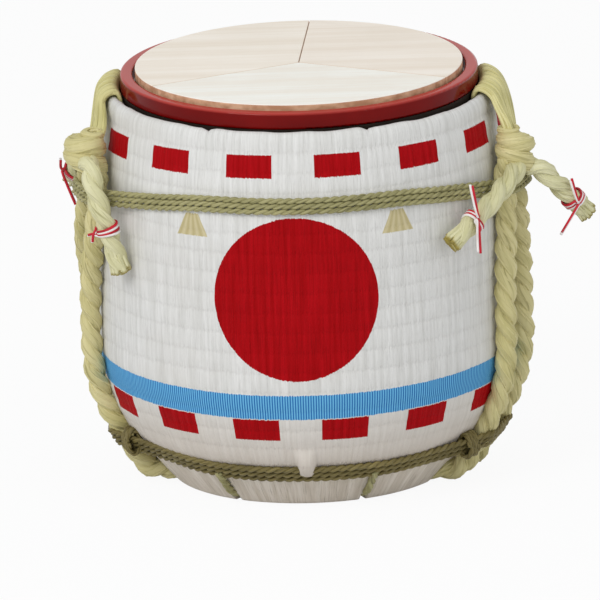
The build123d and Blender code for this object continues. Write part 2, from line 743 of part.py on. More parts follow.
# Foot ties: thin ropes from the lower girth rope down and under the base
for tie_index, tie_az in enumerate(FOOT_TIE_AZ):
    tie_out = TIE_ROPE_D / 2 + CLEAR
    tie_top = LOWER_LEVELS[0] - GIRTH_LOWER_D / 2 - TIE_ROPE_D / 2 - 0.6
    corner = mat_radius(TIE_UNDER_Z, tie_out)
    tie_route = [
        polar(mat_radius(tie_top, tie_out), tie_az, tie_top),
        polar(corner, tie_az, TIE_UNDER_Z),
        polar(FOOT_R - TIE_REACH, tie_az, TIE_UNDER_Z),
    ]
    foot_tie = route_tube(f"foot_tie_{tie_index + 1}", tie_route, TIE_ROPE_D, (1,), 1.2 * TIE_ROPE_D)
    save(foot_tie, f"foot_tie_{tie_index + 1}")
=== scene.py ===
# %% [markdown]
# # A straw-wrapped sake barrel
# The barrel is a wooden cask in a coat of straw matting, tied with straw rope. A red lacquered tub
# hangs in its mouth, and a lid in three boards closes the tub. The CAD model gives the frame: every
# piece made here takes its place from it, in metres, with +Z up and the front towards -Y.

# %% Load the frame
import random
from math import atan2, cos, degrees, hypot, pi, radians, sin, sqrt

import bmesh
import bpy
import numpy as np
from mathutils import Matrix, Vector, geometry, noise


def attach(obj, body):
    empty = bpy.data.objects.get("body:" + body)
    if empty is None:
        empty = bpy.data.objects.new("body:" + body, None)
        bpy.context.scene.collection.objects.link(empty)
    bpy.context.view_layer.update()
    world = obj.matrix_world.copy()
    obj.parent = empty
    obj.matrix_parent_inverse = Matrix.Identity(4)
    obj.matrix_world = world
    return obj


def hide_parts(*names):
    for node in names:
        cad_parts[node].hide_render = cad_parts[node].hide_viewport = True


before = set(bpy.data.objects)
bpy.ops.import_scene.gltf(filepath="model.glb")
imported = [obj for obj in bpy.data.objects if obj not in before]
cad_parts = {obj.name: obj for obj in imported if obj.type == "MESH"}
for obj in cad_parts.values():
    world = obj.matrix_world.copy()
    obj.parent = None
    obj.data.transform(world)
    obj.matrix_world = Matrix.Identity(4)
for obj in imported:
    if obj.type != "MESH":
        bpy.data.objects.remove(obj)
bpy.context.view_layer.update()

MM = 0.001
UP = Vector((0.0, 0.0, 1.0))

# %% [markdown]
# ## Camera
# The picture was taken with a long lens from far away, a little above the barrel, and the camera leaned
# by nearly two degrees. A long lens keeps the ellipses of lid and rim flat. The lean is a turn about the
# camera's own view axis.

# %% Camera
AIM = Vector((-2.9, 0.0, 84.7)) * MM
DISTANCE = 12.0
ELEVATION = radians(15.4)
LEAN = radians(-1.77)
camera_data = bpy.data.cameras.new("camera")
camera_data.lens = 1471.6
camera_data.sensor_width = 36.0
camera = bpy.data.objects.new("camera", camera_data)
camera.location = AIM + DISTANCE * Vector((0.0, -cos(ELEVATION), sin(ELEVATION)))
tilt = Matrix.Rotation(pi / 2 - ELEVATION, 4, "X") @ Matrix.Rotation(LEAN, 4, "Z")
camera.rotation_euler = tilt.to_euler()
bpy.context.scene.collection.objects.link(camera)
bpy.context.scene.camera = camera
bpy.context.scene.view_settings.view_transform = "Standard"
print("camera at", [round(v, 3) for v in camera.location])

# %% [markdown]
# ## Helpers for materials
# A material is a small network of nodes. Writing each link by hand is long, so one helper adds a node
# and sets or links its inputs, and others write a sum, a blend of two colours or a tint through a mask.
# A socket knows its own network, so most helpers need no more than sockets. Colours are noted as they
# look on a screen, and Blender wants them linear.


# %% Node helpers
def paint(red, green, blue):
    """A screen colour, 0 to 255, as the linear colour that shaders use."""
    parts = [c / 255 for c in (red, green, blue)]
    return tuple(c / 12.92 if c < 0.04045 else ((c + 0.055) / 1.055) ** 2.4 for c in parts) + (1.0,)


def give(socket, value):
    """Link a socket to another one, or set its value."""
    if isinstance(value, bpy.types.NodeSocket):
        socket.id_data.links.new(value, socket)
    else:
        socket.default_value = value


def add(tree, kind, inputs=(), **settings):
    """Add a node; inputs are values or sockets, in order or by name."""
    made = tree.nodes.new("ShaderNode" + kind)
    for name, value in settings.items():
        setattr(made, name, value)
    for key, value in inputs.items() if isinstance(inputs, dict) else enumerate(inputs):
        give(made.inputs[key], value)
    return made


def calc(operation, *values):
    tree = next(v.id_data for v in values if isinstance(v, bpy.types.NodeSocket))
    return add(tree, "Math", values, operation=operation).outputs[0]


def ramp(value, *span):
    """Map a value from low and high to 0 and 1, or to two more numbers of the span."""
    return add(value.id_data, "MapRange", (value, *span), clamp=True).outputs[0]


def mix(share, first, second):
    """Blend two colours, each a socket or a screen colour."""
    made = add(share.id_data, "Mix", data_type="RGBA", clamp_factor=True)
    sockets = {socket.identifier: socket for socket in made.inputs}
    give(sockets["Factor_Float"], share)
    for key, colour in (("A_Color", first), ("B_Color", second)):
        is_socket = isinstance(colour, bpy.types.NodeSocket)
        give(sockets[key], colour if is_socket else paint(*colour))
    return next(s for s in made.outputs if s.identifier == "Result_Color")


def tint(colour, tone, mask, *span):
    """Lay a tone over a colour, with a share that follows a mask."""
    return mix(ramp(mask, *span), colour, tone)


def object_place(tree):
    return add(tree, "TexCoord").outputs["Object"]


def object_height(tree):
    return add(tree, "SeparateXYZ", (object_place(tree),)).outputs[2]


# %% Starting and dressing a material
def new_material(name, **uniform):
    """A material with its shader; uniform values are set on the shader's own sockets."""
    material = bpy.data.materials.new(name)
    material.use_nodes = True
    shader = material.node_tree.nodes["Principled BSDF"]
    for key, value in uniform.items():
        shader.inputs[key.replace("_", " ")].default_value = value
    return material, material.node_tree, shader


def dress(shader, colour, mask, rough, height, depth, strength):
    """Link colour, relief and a roughness that goes between two values with a mask."""
    bump = {"Strength": strength, "Distance": depth, "Height": height}
    give(shader.inputs["Base Color"], colour)
    give(shader.inputs["Roughness"], ramp(mask, 0.0, 1.0, *rough))
    give(shader.inputs["Normal"], add(shader.id_data, "Bump", bump).outputs[0])


# %% [markdown]
# ## Floor and light
# A pale floor carries the barrel. Towards the camera it is nearly its own white, so that the background
# is white and a soft shadow still shows, and for every other ray it is a plain pale surface. One large
# lamp on the left, a weaker one on the right and an even sky give soft light without hard shadows.


# %% Floor
FLOOR_DROP = 0.5
FLOOR_WHITE_SHARE = 0.93
WHITE = (1.0, 1.0, 1.0, 1.0)


def mesh_object(name, bm):
    """Turn a bmesh into an object of the scene."""
    mesh = bpy.data.meshes.new(name)
    bm.to_mesh(mesh)
    bm.free()
    made = bpy.data.objects.new(name, mesh)
    bpy.context.scene.collection.objects.link(made)
    return made


def seen_share(tree):
    """One for rays that the camera sees, straight or by gloss or glass, and else zero."""
    rays = add(tree, "LightPath").outputs
    seen = calc("MAXIMUM", rays["Is Camera Ray"], rays["Is Glossy Ray"])
    return calc("MAXIMUM", seen, rays["Is Transmission Ray"])


floor_bm = bmesh.new()
bmesh.ops.create_grid(floor_bm, x_segments=1, y_segments=1, size=6.0)
floor = mesh_object("floor", floor_bm)
floor.location.z = -FLOOR_DROP * MM

floor_white = bpy.data.materials.new("floor_white")
floor_white.use_nodes = True
tree = floor_white.node_tree
tree.nodes.clear()
share = calc("MULTIPLY", seen_share(tree), FLOOR_WHITE_SHARE)
matt = add(tree, "BsdfDiffuse", {"Color": (0.8, 0.8, 0.8, 1.0)})
glow = add(tree, "Emission", {"Color": WHITE, "Strength": 1.0})
both = add(tree, "MixShader", (share, matt.outputs[0], glow.outputs[0]))
add(tree, "OutputMaterial", (both.outputs[0],))
floor.data.materials.append(floor_white)
print("floor", floor.data.materials[0].name)

# %% Sky and lamps
world = bpy.data.worlds.new("sky")
bpy.context.scene.world = world
world.use_nodes = True
tree = world.node_tree
tree.nodes.clear()
even = add(tree, "Background", {"Color": (0.96, 0.98, 1.0, 1.0), "Strength": 0.62})
white = add(tree, "Background", {"Color": WHITE, "Strength": 1.0})
both = add(tree, "MixShader", (seen_share(tree), even.outputs[0], white.outputs[0]))
add(tree, "OutputWorld", (both.outputs[0],))
LAMP_AIM = Vector((0.0, 0.0, 0.1))
LAMP_SIZE = 1.2


def lamp(name, place, power):
    data = bpy.data.lights.new(name, "AREA")
    data.energy = power
    data.shape = "DISK"
    data.size = LAMP_SIZE
    made = bpy.data.objects.new(name, data)
    made.location = place
    made.rotation_euler = (LAMP_AIM - Vector(place)).to_track_quat("-Z", "Y").to_euler()
    bpy.context.scene.collection.objects.link(made)


lamp("lamp_left", (-1.1, -1.5, 1.5), 20.0)
lamp("lamp_right", (1.6, -1.3, 1.0), 5.0)

# %% [markdown]
# ## Shared effects
# Straw, matting and wood are all made of fibres, so one effect serves them: noise drawn out along one
# axis of a vector. It gives masks for the colour and a height for the bump. A second effect is a slow
# mottling, as on any plant stuff that dried unevenly.


# %% Effect groups
def effect_group(name, inputs, outputs):
    """A group with a vector and named numbers going in and numbers coming out."""
    group = bpy.data.node_groups.new(name, "ShaderNodeTree")
    group.interface.new_socket("Vector", in_out="INPUT", socket_type="NodeSocketVector")
    for label, value in inputs.items():
        socket = group.interface.new_socket(label, in_out="INPUT", socket_type="NodeSocketFloat")
        socket.default_value = value
    for label in outputs:
        group.interface.new_socket(label, in_out="OUTPUT", socket_type="NodeSocketFloat")
    return group, group.nodes.new("NodeGroupInput").outputs, group.nodes.new("NodeGroupOutput").inputs


def stretched(vector, by):
    return add(vector.id_data, "VectorMath", (vector, by), operation="MULTIPLY").outputs[0]


fibre_inputs = {"Across": 900.0, "Along": 40.0}
fibres, given, result = effect_group("fibres", fibre_inputs, ("Streaks", "Broad", "Height"))
scales = add(fibres, "CombineXYZ", (given["Across"], given["Across"], given["Along"])).outputs[0]
drawn = stretched(given["Vector"], scales)
coarse = stretched(drawn, (0.28, 0.28, 0.45))
fine = add(fibres, "TexNoise", {"Vector": drawn, "Scale": 1.0, "Detail": 3.0, "Roughness": 0.6})
wide = add(fibres, "TexNoise", {"Vector": coarse, "Scale": 1.0, "Detail": 2.0, "Roughness": 0.5})
both = calc("MULTIPLY_ADD", wide.outputs[0], 1.2, fine.outputs[0])
give(result["Streaks"], ramp(fine.outputs[0], 0.32, 0.68))
give(result["Broad"], ramp(wide.outputs[0], 0.34, 0.66))
give(result["Height"], both)

mottle, given, result = effect_group("mottle", {"Size": 0.03}, ("Patches",))
scale = calc("DIVIDE", 1.0, given["Size"])
cloud = add(mottle, "TexNoise", {"Vector": given["Vector"], "Scale": scale, "Detail": 3.0})
give(result["Patches"], ramp(cloud.outputs[0], 0.3, 0.7))


def effect(group, **inputs):
    """Place an effect in a material with its own values."""
    return add(inputs["Vector"].id_data, "Group", inputs, node_tree=group).outputs


print("effects", fibres.name, mottle.name)

# %% [markdown]
# ## Straw
# All the ropes are rice straw: pale yellow green, with fine lines along every strand and a few darker
# stems. The lines have to turn with the strand, so each rope carries an attribute, `lay`, that unrolls
# it: two numbers go round the strand and the third counts along it. A second attribute, `cut`, is one at
# the cut ends, which are darker and yellower.

# %% Straw material
CUT_STRAW = (158, 141, 62)


def straw_material(name, pale, deep, dark, across=700.0, along=28.0):
    """Straw in three tones; across and along set how fine and how long its lines are."""
    material, tree, shader = new_material(name, Specular_IOR_Level=0.35)
    lay = add(tree, "Attribute", attribute_name="lay").outputs["Vector"]
    cut = add(tree, "Attribute", attribute_name="cut").outputs["Fac"]
    lines = effect(fibres, Vector=lay, Across=across, Along=along)
    patches = effect(mottle, Vector=object_place(tree), Size=0.022)
    share = calc("MULTIPLY_ADD", patches["Patches"], 0.45, calc("MULTIPLY", lines["Broad"], 0.55))
    colour = mix(share, deep, pale)
    colour = tint(colour, dark, lines["Streaks"], 0.0, 0.38, 0.62, 0.0)
    colour = mix(cut, colour, CUT_STRAW)
    dress(shader, colour, lines["Broad"], (0.68, 0.46), lines["Height"], 0.0005, 0.55)
    return material


thick_straw = straw_material("thick_straw", (224, 214, 162), (190, 181, 122), (130, 120, 64))
tail_straw = straw_material("tail_straw", (227, 223, 184), (199, 195, 146), (146, 140, 88))
neck_straw = straw_material("neck_straw", (228, 220, 164), (192, 184, 114), (124, 114, 54))
thin_straw = straw_material("thin_straw", (178, 172, 124), (138, 133, 88), (72, 68, 36), 1500.0, 60.0)
low_straw = straw_material("low_straw", (134, 121, 72), (96, 85, 44), (40, 34, 12), 1500.0, 60.0)
print("straw", [m.name for m in bpy.data.materials if m.name.endswith("straw")])

# %% [markdown]
# ## Printed matting
# The side mat is woven straw, bleached white and printed: two rows of red checks, a blue band with fine
# upright lines, one plain red disc and two small tassels. A print like this follows the height and the
# angle round the barrel, so the material works both out from Object coordinates, and no unwrapping is
# needed. The edges of the print wander a little from straw to straw.

# %% Coordinates on the wrapped wall
BELLY_R = 101.0


def wall_place(tree, radius):
    """Height, azimuth in radians, way round the wall and unrolled place, in mm."""
    in_mm = stretched(object_place(tree), (1 / MM,) * 3)
    x, y, z = add(tree, "SeparateXYZ", (in_mm,)).outputs
    azimuth = calc("ARCTAN2", x, calc("MULTIPLY", y, -1.0))
    way_round = calc("MULTIPLY", azimuth, radius)
    unrolled = add(tree, "CombineXYZ", (way_round, 0.0, z)).outputs[0]
    return z, azimuth, way_round, unrolled


def between(value, low, high):
    return calc("COMPARE", value, (low + high) / 2, (high - low) / 2)


def wave(value, speed):
    """A sine between 0 and 1."""
    return calc("MULTIPLY_ADD", calc("SINE", calc("MULTIPLY", value, speed)), 0.5, 0.5)


printed_mat, tree, shader = new_material("printed_mat", Specular_IOR_Level=0.1)
z, azimuth, way_round, unrolled = wall_place(tree, BELLY_R)
straws = effect(fibres, Vector=unrolled, Across=1.7, Along=0.05)
hairs = effect(fibres, Vector=unrolled, Across=4.5, Along=0.16)
patches = effect(mottle, Vector=object_place(tree), Size=0.05)
wander = calc("MULTIPLY_ADD", straws["Streaks"], 0.7, -0.35)
to_side = calc("POWER", calc("SINE", azimuth), 2.0)
bow = calc("MULTIPLY", to_side, ramp(z, 60.0, 180.0, -1.4, 1.6))
height = calc("ADD", calc("ADD", z, wander), bow)
print("wall coordinates for a belly of", BELLY_R, "mm")

# %% Checks, band and disc
CHECKS_ROUND = 14
CHECK_START_AZ = 3.48
CHECK_SHARE = 0.525
CHECK_ROWS = ((172.7, 183.8), (39.9, 51.1))
BAND = (51.5, 64.0)
PIN_PITCH = 1.27
DISC_AZ, DISC_Z, DISC_R = -2.8, 112.3, 41.0

from_start = calc("SUBTRACT", azimuth, radians(CHECK_START_AZ))
check_turn = calc("FRACT", calc("DIVIDE", from_start, 2 * pi / CHECKS_ROUND))
rows = calc("ADD", *(between(height, *row) for row in CHECK_ROWS))
checks = calc("MULTIPLY", calc("LESS_THAN", check_turn, CHECK_SHARE), rows)
beside = calc("MULTIPLY", calc("SUBTRACT", azimuth, radians(DISC_AZ)), BELLY_R)
above = calc("SUBTRACT", height, DISC_Z)
squares = [calc("POWER", way, 2.0) for way in (beside, above)]
disc = calc("LESS_THAN", calc("SQRT", calc("ADD", *squares)), DISC_R)
red_print = calc("MAXIMUM", checks, disc)
blue_print = between(height, *BAND)
pins = wave(way_round, 2 * pi / PIN_PITCH)
print("print on the mat:", 2 * CHECKS_ROUND, "checks, a band and a disc")

# %% Tassels and stitching
TASSEL_AZ = 29.8
TASSEL = (142.6, 153.6)
TASSEL_TOP_HALF = 3.4
TASSEL_FLARE = 0.46
ROW_PITCH = 10.0
WEFT_PITCH = 2.4

aside = calc("SUBTRACT", calc("ABSOLUTE", beside), radians(TASSEL_AZ) * BELLY_R)
spread = calc("MULTIPLY_ADD", calc("SUBTRACT", TASSEL[1], z), TASSEL_FLARE, TASSEL_TOP_HALF)
inside = calc("LESS_THAN", calc("ABSOLUTE", aside), spread)
tassels = calc("MULTIPLY", inside, between(height, *TASSEL))
tassel_lines = wave(calc("DIVIDE", aside, spread), 13.0)

row_wander = calc("MULTIPLY_ADD", hairs["Broad"], 1.6, -0.8)
row_turn = calc("FRACT", calc("DIVIDE", calc("ADD", z, row_wander), ROW_PITCH))
from_row = calc("ABSOLUTE", calc("SUBTRACT", row_turn, 0.5))
row_line = calc("SUBTRACT", 1.0, ramp(from_row, 0.0, 0.12))
stitch = calc("MULTIPLY", row_line, wave(way_round, 2 * pi / WEFT_PITCH))
print("two tassels, stitching every", ROW_PITCH, "mm")

# %% Colours of the mat
white = mix(straws["Broad"], (218, 217, 213), (233, 232, 229))
for tone, mask, *span in (
    ((172, 168, 163), straws["Streaks"], 0.0, 0.36, 0.3, 0.0),
    ((168, 164, 158), hairs["Streaks"], 0.0, 0.34, 0.34, 0.0),
    ((190, 186, 180), row_line, 0.0, 1.0, 0.0, 0.13),
    ((210, 205, 196), patches["Patches"], 0.55, 1.0, 0.0, 0.22),
    # the mat turns darker and warmer towards its foot, below 66 mm
    ((214, 198, 180), z, 24.0, 66.0, 0.6, 0.0),
):
    white = tint(white, tone, mask, *span)
red = mix(straws["Broad"], (158, 0, 6), (178, 1, 14))
red = tint(red, (128, 0, 3), straws["Streaks"], 0.0, 0.45, 0.5, 0.0)
red = tint(red, (108, 0, 3), hairs["Streaks"], 0.0, 0.34, 0.4, 0.0)
blue = mix(pins, (6, 96, 176), (122, 196, 230))
tan = mix(tassel_lines, (190, 177, 132), (208, 196, 156))
colour = mix(tassels, white, tan)
colour = mix(blue_print, colour, blue)
colour = mix(red_print, colour, red)
relief = calc("MULTIPLY_ADD", straws["Streaks"], 0.3, hairs["Height"])
relief = calc("SUBTRACT", relief, calc("MULTIPLY", stitch, 0.9))
dress(shader, colour, straws["Broad"], (0.78, 0.6), relief, 0.0004, 0.55)
print(printed_mat.name, len(tree.nodes), "nodes")

# %% [markdown]
# ## The side mat
# The mat wraps the padded cask like a sleeve: it is widest at the belly, draws in at the shoulder and
# rolls over at the lip. A cylinder could be pushed into that shape, but a section spun about the axis
# keeps the wall's thickness exact. The rows of stitching pull the straw in every ten millimetres, so the
# spun wall gets shallow pillows, the lip gets a few puckers, and at the front one tongue of the hem hangs
# over the rope that ties the foot.

# %% Section of the wrapped body
FOOT_R = 67.0
FOOT_TOP_Z = 22.0
LOW_CURVE_R = 82.0
HIGH_CURVE_R = 305.0
BELLY_Z = (70.0, 130.0)
SHOULDER_Z = 184.0


def wrap_radius(z, out=0.0):
    """Radius of the wrapped body at height z in mm, moved out along the normal."""
    low_centre = BELLY_R - LOW_CURVE_R
    if z < FOOT_TOP_Z:
        top_r = low_centre + sqrt(LOW_CURVE_R**2 - (BELLY_Z[0] - FOOT_TOP_Z) ** 2)
        slope = (top_r - FOOT_R) / FOOT_TOP_Z
        return FOOT_R + slope * z + out * sqrt(1 + slope**2)
    if z < BELLY_Z[0]:
        return low_centre + sqrt((LOW_CURVE_R + out) ** 2 - (BELLY_Z[0] - z) ** 2)
    if z < BELLY_Z[1]:
        return BELLY_R + out
    return BELLY_R - HIGH_CURVE_R + sqrt((HIGH_CURVE_R + out) ** 2 - (z - BELLY_Z[1]) ** 2)


print("wrapped body", [round(wrap_radius(z), 1) for z in (0.0, *BELLY_Z, SHOULDER_Z)])


# %% Spinning, pushing and finishing
def spun(section, steps):
    """Spin a closed section of (radius, z) in mm about the axis."""
    bm = bmesh.new()
    verts = [bm.verts.new((r * MM, 0.0, z * MM)) for r, z in section]
    edges = [bm.edges.new(pair) for pair in zip(verts, verts[1:] + verts[:1])]
    bmesh.ops.spin(
        bm, geom=verts + edges, axis=(0, 0, 1), cent=(0, 0, 0), angle=2 * pi, steps=steps, use_merge=True
    )
    bmesh.ops.remove_doubles(bm, verts=bm.verts, dist=1e-6)
    bmesh.ops.recalc_face_normals(bm, faces=bm.faces)
    return bm


def bearing(vert):
    """A vertex's azimuth in radians, and its point on the unit circle as a place for noise."""
    turn = atan2(vert.co.x, -vert.co.y)
    return turn, Vector((sin(turn), cos(turn), 0.0))


def push_out(vert, *distances):
    """Move a vertex away from the axis by one share of its radius after another, in mm."""
    radius = hypot(vert.co.x, vert.co.y)
    for distance in distances:
        vert.co.x *= 1 + distance * MM / radius
        vert.co.y *= 1 + distance * MM / radius


def clamped(share):
    return max(0.0, min(1.0, share))


def smooth_step(share):
    share = clamped(share)
    return share * share * (3 - 2 * share)


def finish_piece(name, bm, material, node, body="barrel", smooth=True):
    """Make the piece that replaces a node and rides on a body."""
    made = mesh_object(name, bm)
    made.data.materials.append(material)
    if smooth:
        made.data.shade_smooth()
    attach(made, body)
    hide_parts(node)
    print(name, len(made.data.polygons), "faces")
    return made


# %% Side mat
HEM_Z = 24.0
MAT_T = 3.3
MAT_MIDDLE = 1.5
RING_RISE = 1.5
LIP = [(95.6, 185.2), (95.5, 187.6), (95.2, 190.0), (94.7, 192.0), (93.8, 193.5),
       (92.5, 194.4), (91.2, 194.4), (90.2, 193.7), (89.9, 192.4), (89.9, 190.6)]
outer_levels = [HEM_Z + RING_RISE * i for i in range(107)]
inner_levels = [SHOULDER_Z - 5.0 * i for i in range(33)]
outer = [(wrap_radius(z), z) for z in outer_levels]
inner = [(wrap_radius(z, -MAT_T), z) for z in inner_levels]
mat_bm = spun(outer + LIP + inner, 420)

LIP_NOTCH_AZ = (-29.0, 21.0, 112.0, -140.0)
NOTCH_HALF_AZ = 2.6
NOTCH_DEPTH = 1.7
RIGHT_SINK = 1.6


def lip_sink(turn, spot):
    """How far the lip rises or, where negative, sinks."""
    sink = 0.9 * noise.noise(spot * 5.0 + Vector((3.0, 0.0, 0.0))) - RIGHT_SINK * max(0.0, sin(turn))
    for notch in LIP_NOTCH_AZ:
        apart = (degrees(turn) - notch) / NOTCH_HALF_AZ
        sink -= NOTCH_DEPTH * max(0.0, 1.0 - abs(apart)) * (1.0 if apart < 0 else 0.4)
    return sink


TONGUE_Z = 36.0
TONGUE_AZ = -1.8
TONGUE_HALF_AZ = 3.3
TONGUE_PROUD = 3.2
TONGUE_FALL = 4.4
for vert in mat_bm.verts:
    level = vert.co.z / MM
    turn, spot = bearing(vert)
    outside = hypot(vert.co.x, vert.co.y) / MM > wrap_radius(min(level, SHOULDER_Z), -MAT_MIDDLE)
    pillow = 0.34 * (abs(cos(pi * level / ROW_PITCH)) ** 0.7 - 0.75)
    ripple = 0.35 * noise.noise(spot * 9.0 + UP * level / 24.0)
    straw = 0.12 * noise.noise(spot * 70.0 + UP * level / 60.0)
    near_lip = clamped((level - 168.0) / 24.0) ** 2
    pleat = -0.9 * near_lip * max(0.0, noise.noise(spot * 13.0)) ** 1.2
    hang = clamped((TONGUE_Z - level) / (TONGUE_Z - HEM_Z))
    beside_tongue = abs(degrees(turn) - TONGUE_AZ - 0.4 * hang)
    tongue = smooth_step(TONGUE_HALF_AZ - 0.4 * hang - beside_tongue)
    proud = tongue * (TONGUE_PROUD * sin(0.94 * pi * hang**1.6) + 0.4 * hang)
    push_out(vert, (pillow + ripple + straw if outside else 0.0) + pleat, proud)
    rise = near_lip * lip_sink(turn, spot)
    ragged = noise.noise(spot * 60.0)
    if level < HEM_Z + 1.0:
        rise += 0.5 * ragged
    vert.co.z += (rise - tongue * (TONGUE_FALL + 2.0 * ragged) * hang**3) * MM

side_mat = finish_piece("side_mat", mat_bm, printed_mat, "mat_side")

# %% [markdown]
# ## The base mat
# Under the side mat sits a plain straw cup. The thick ropes and the foot ties pass under it in grooves,
# so the barrel stands flat. The cup is a spun section, and a Boolean modifier cuts the grooves with a
# set of boxes, because the grooves cross the round foot at odd angles.

# %% Plain mat material
plain_mat, tree, shader = new_material("plain_mat", Specular_IOR_Level=0.25)
unrolled = wall_place(tree, 80.0)[-1]
straws = effect(fibres, Vector=unrolled, Across=1.5, Along=0.08)
patches = effect(mottle, Vector=object_place(tree), Size=0.03)
colour = mix(straws["Broad"], (214, 203, 188), (234, 225, 213))
colour = tint(colour, (160, 148, 130), straws["Streaks"], 0.0, 0.4, 0.6, 0.0)
colour = tint(colour, (188, 176, 158), patches["Patches"], 0.5, 1.0, 0.0, 0.3)
dress(shader, colour, straws["Broad"], (0.8, 0.6), straws["Height"], 0.0006, 0.7)
print(plain_mat.name, len(tree.nodes), "nodes")

# %% Route points shared by the grooves and the ropes
LEG_AZ = {"front": (65.5, -80.0), "rear": (83.0, -102.5)}
LEG_TOP_AZ = {"front": (68.5, -69.5), "rear": (77.5, -78.5)}
FOOT_TIE_AZ = (-156.0, -124.0, -32.0, 21.5, 116.0, 160.0)
UNDER_Z = 5.9


def polar(radius, azimuth, z=0.0):
    """A point in metres at an azimuth counted from the front towards the right."""
    return Vector((radius * sin(radians(azimuth)), -radius * cos(radians(azimuth)), z)) * MM


def under_ends(which):
    radius = wrap_radius(UNDER_Z, 5.3)
    return [polar(radius, azimuth, UNDER_Z) for azimuth in LEG_AZ[which]]


print("foot ties", len(FOOT_TIE_AZ))

# %% Base mat
BASE_T = 3.5
BASE_FLOOR_Z = 13.0
cup = [(0.0, 0.0), (30.0, 0.0), (60.0, 0.0), (66.2, 0.1), (67.3, 0.6)]
cup += [(wrap_radius(z), z) for z in (1.6, 4.0, 8.0, 12.0, 16.0, 20.0, 22.0, 23.6)]
cup += [(wrap_radius(z, -BASE_T), z) for z in (23.7, 22.0, 17.0, BASE_FLOOR_Z)]
cup += [(30.0, BASE_FLOOR_Z), (0.0, BASE_FLOOR_Z)]
cup_bm = spun(cup, 240)
for vert in cup_bm.verts:
    if hypot(vert.co.x, vert.co.y) > 0.06 and vert.co.z > 0.003:
        spot = bearing(vert)[1]
        push_out(vert, 0.5 * noise.noise(spot * 40.0 + UP * vert.co.z * 60.0))
base_mat = finish_piece("base_mat", cup_bm, plain_mat, "mat_base")

# %% Grooves under the base
ROPE_GROOVE = (40.0, 10.6, 22.0)
TIE_GROOVE = (36.0, 3.8, 7.8)


def groove(bm, middle, heading, length, width, height):
    """A cutting box on the floor, its length along a heading in radians; sizes in mm."""
    size = Matrix.Diagonal((length * MM, width * MM, height * MM, 1.0))
    place = Matrix.Translation((middle.x, middle.y, 0.0)) @ Matrix.Rotation(heading, 4, "Z")
    bmesh.ops.create_cube(bm, size=1.0, matrix=place @ size)


cutter_bm = bmesh.new()
for which in LEG_AZ:
    start, end = under_ends(which)
    run = end - start
    spare, width, height = ROPE_GROOVE
    groove(cutter_bm, (start + end) / 2, atan2(run.y, run.x), run.length / MM + spare, width, height)
for azimuth in FOOT_TIE_AZ:
    groove(cutter_bm, polar(FOOT_R, azimuth), radians(azimuth - 90.0), *TIE_GROOVE)
cutter = mesh_object("cutter", cutter_bm)
grooves = base_mat.modifiers.new("grooves", "BOOLEAN")
grooves.object = cutter
grooves.operation = "DIFFERENCE"
grooves.solver = "EXACT"
grooves.use_self = True
bpy.context.view_layer.update()
carved = bpy.data.meshes.new_from_object(base_mat.evaluated_get(bpy.context.evaluated_depsgraph_get()))
base_mat.modifiers.clear()
base_mat.data = carved
bpy.data.objects.remove(cutter)
print("base mat with grooves", len(carved.polygons), "faces")

# %% [markdown]
# ## Rope from a route
# A laid rope is two plump strands that wind round each other, and each strand is a bundle of straw. A
# rope's centre line is a smooth NURBS spline on the points of its route, read back as Blender draws it.
# Every strand is a bevelled curve made into a mesh, with some straws half sunk in its skin. The rings of
# such a curve come in order, so the `lay` and `cut` attributes are filled in ring by ring, and the open
# ends are closed after that.


# %% Reading a route
def new_curve(name):
    curve = bpy.data.curves.new(name, "CURVE")
    curve.dimensions = "3D"
    return curve


def drawn_mesh(curve):
    """The mesh that Blender draws for a curve, which is then dropped."""
    holder = bpy.data.objects.new(curve.name, curve)
    mesh = bpy.data.meshes.new_from_object(holder)
    bpy.data.objects.remove(holder)
    bpy.data.curves.remove(curve)
    return mesh


def read_route(points, fineness=14):
    """Points of the smooth line on a route, as Blender draws it."""
    curve = new_curve("route")
    spline = curve.splines.new("NURBS")
    spline.points.add(len(points) - 1)
    for knot, point in zip(spline.points, points):
        knot.co = (*point, 1.0)
    spline.order_u = 3
    spline.use_endpoint_u = True
    spline.resolution_u = fineness
    mesh = drawn_mesh(curve)
    line = [v.co.copy() for v in mesh.vertices]
    bpy.data.meshes.remove(mesh)
    return line


def travelled(spots):
    """How far along a line each of its points is."""
    return np.concatenate([[0.0], np.cumsum(np.linalg.norm(np.diff(spots, axis=0), axis=1))])


def paced(line, step):
    """The same line with its points a step apart, and how far along each one is."""
    spots = np.array([p[:] for p in line])
    far = travelled(spots)
    along = np.linspace(0.0, far[-1], max(4, int(far[-1] / step) + 1))
    return np.stack([np.interp(along, far, spots[:, k]) for k in range(3)], axis=1), along


def frames_of(spots):
    """Two directions square to the line at every point, turning as little as they can."""
    heads = np.gradient(spots, axis=0)
    heads /= np.linalg.norm(heads, axis=1)[:, None]
    side = np.cross(heads[0], (0.0, 0.0, 1.0) if abs(heads[0][2]) < 0.9 else (1.0, 0.0, 0.0))
    sides = []
    for head in heads:
        side = side - head * np.dot(side, head)
        side /= np.linalg.norm(side)
        sides.append(side)
    sides = np.array(sides)
    return sides, np.cross(heads, sides)


def wound(centre, angle, reach):
    """A line that winds round a centre line, at an angle and a reach for every point."""
    side, up = frames_of(centre)
    return centre + (side * np.cos(angle)[:, None] + up * np.sin(angle)[:, None]) * reach[:, None]


# %% Winding strands
STRANDS = 2
ROPE_CUT = 0.0006
BRUSH_CUT = 0.0004
FLARE_LENGTH = 0.009
BRUSH_STEMS = 34
GOLDEN_TURN = 2.4


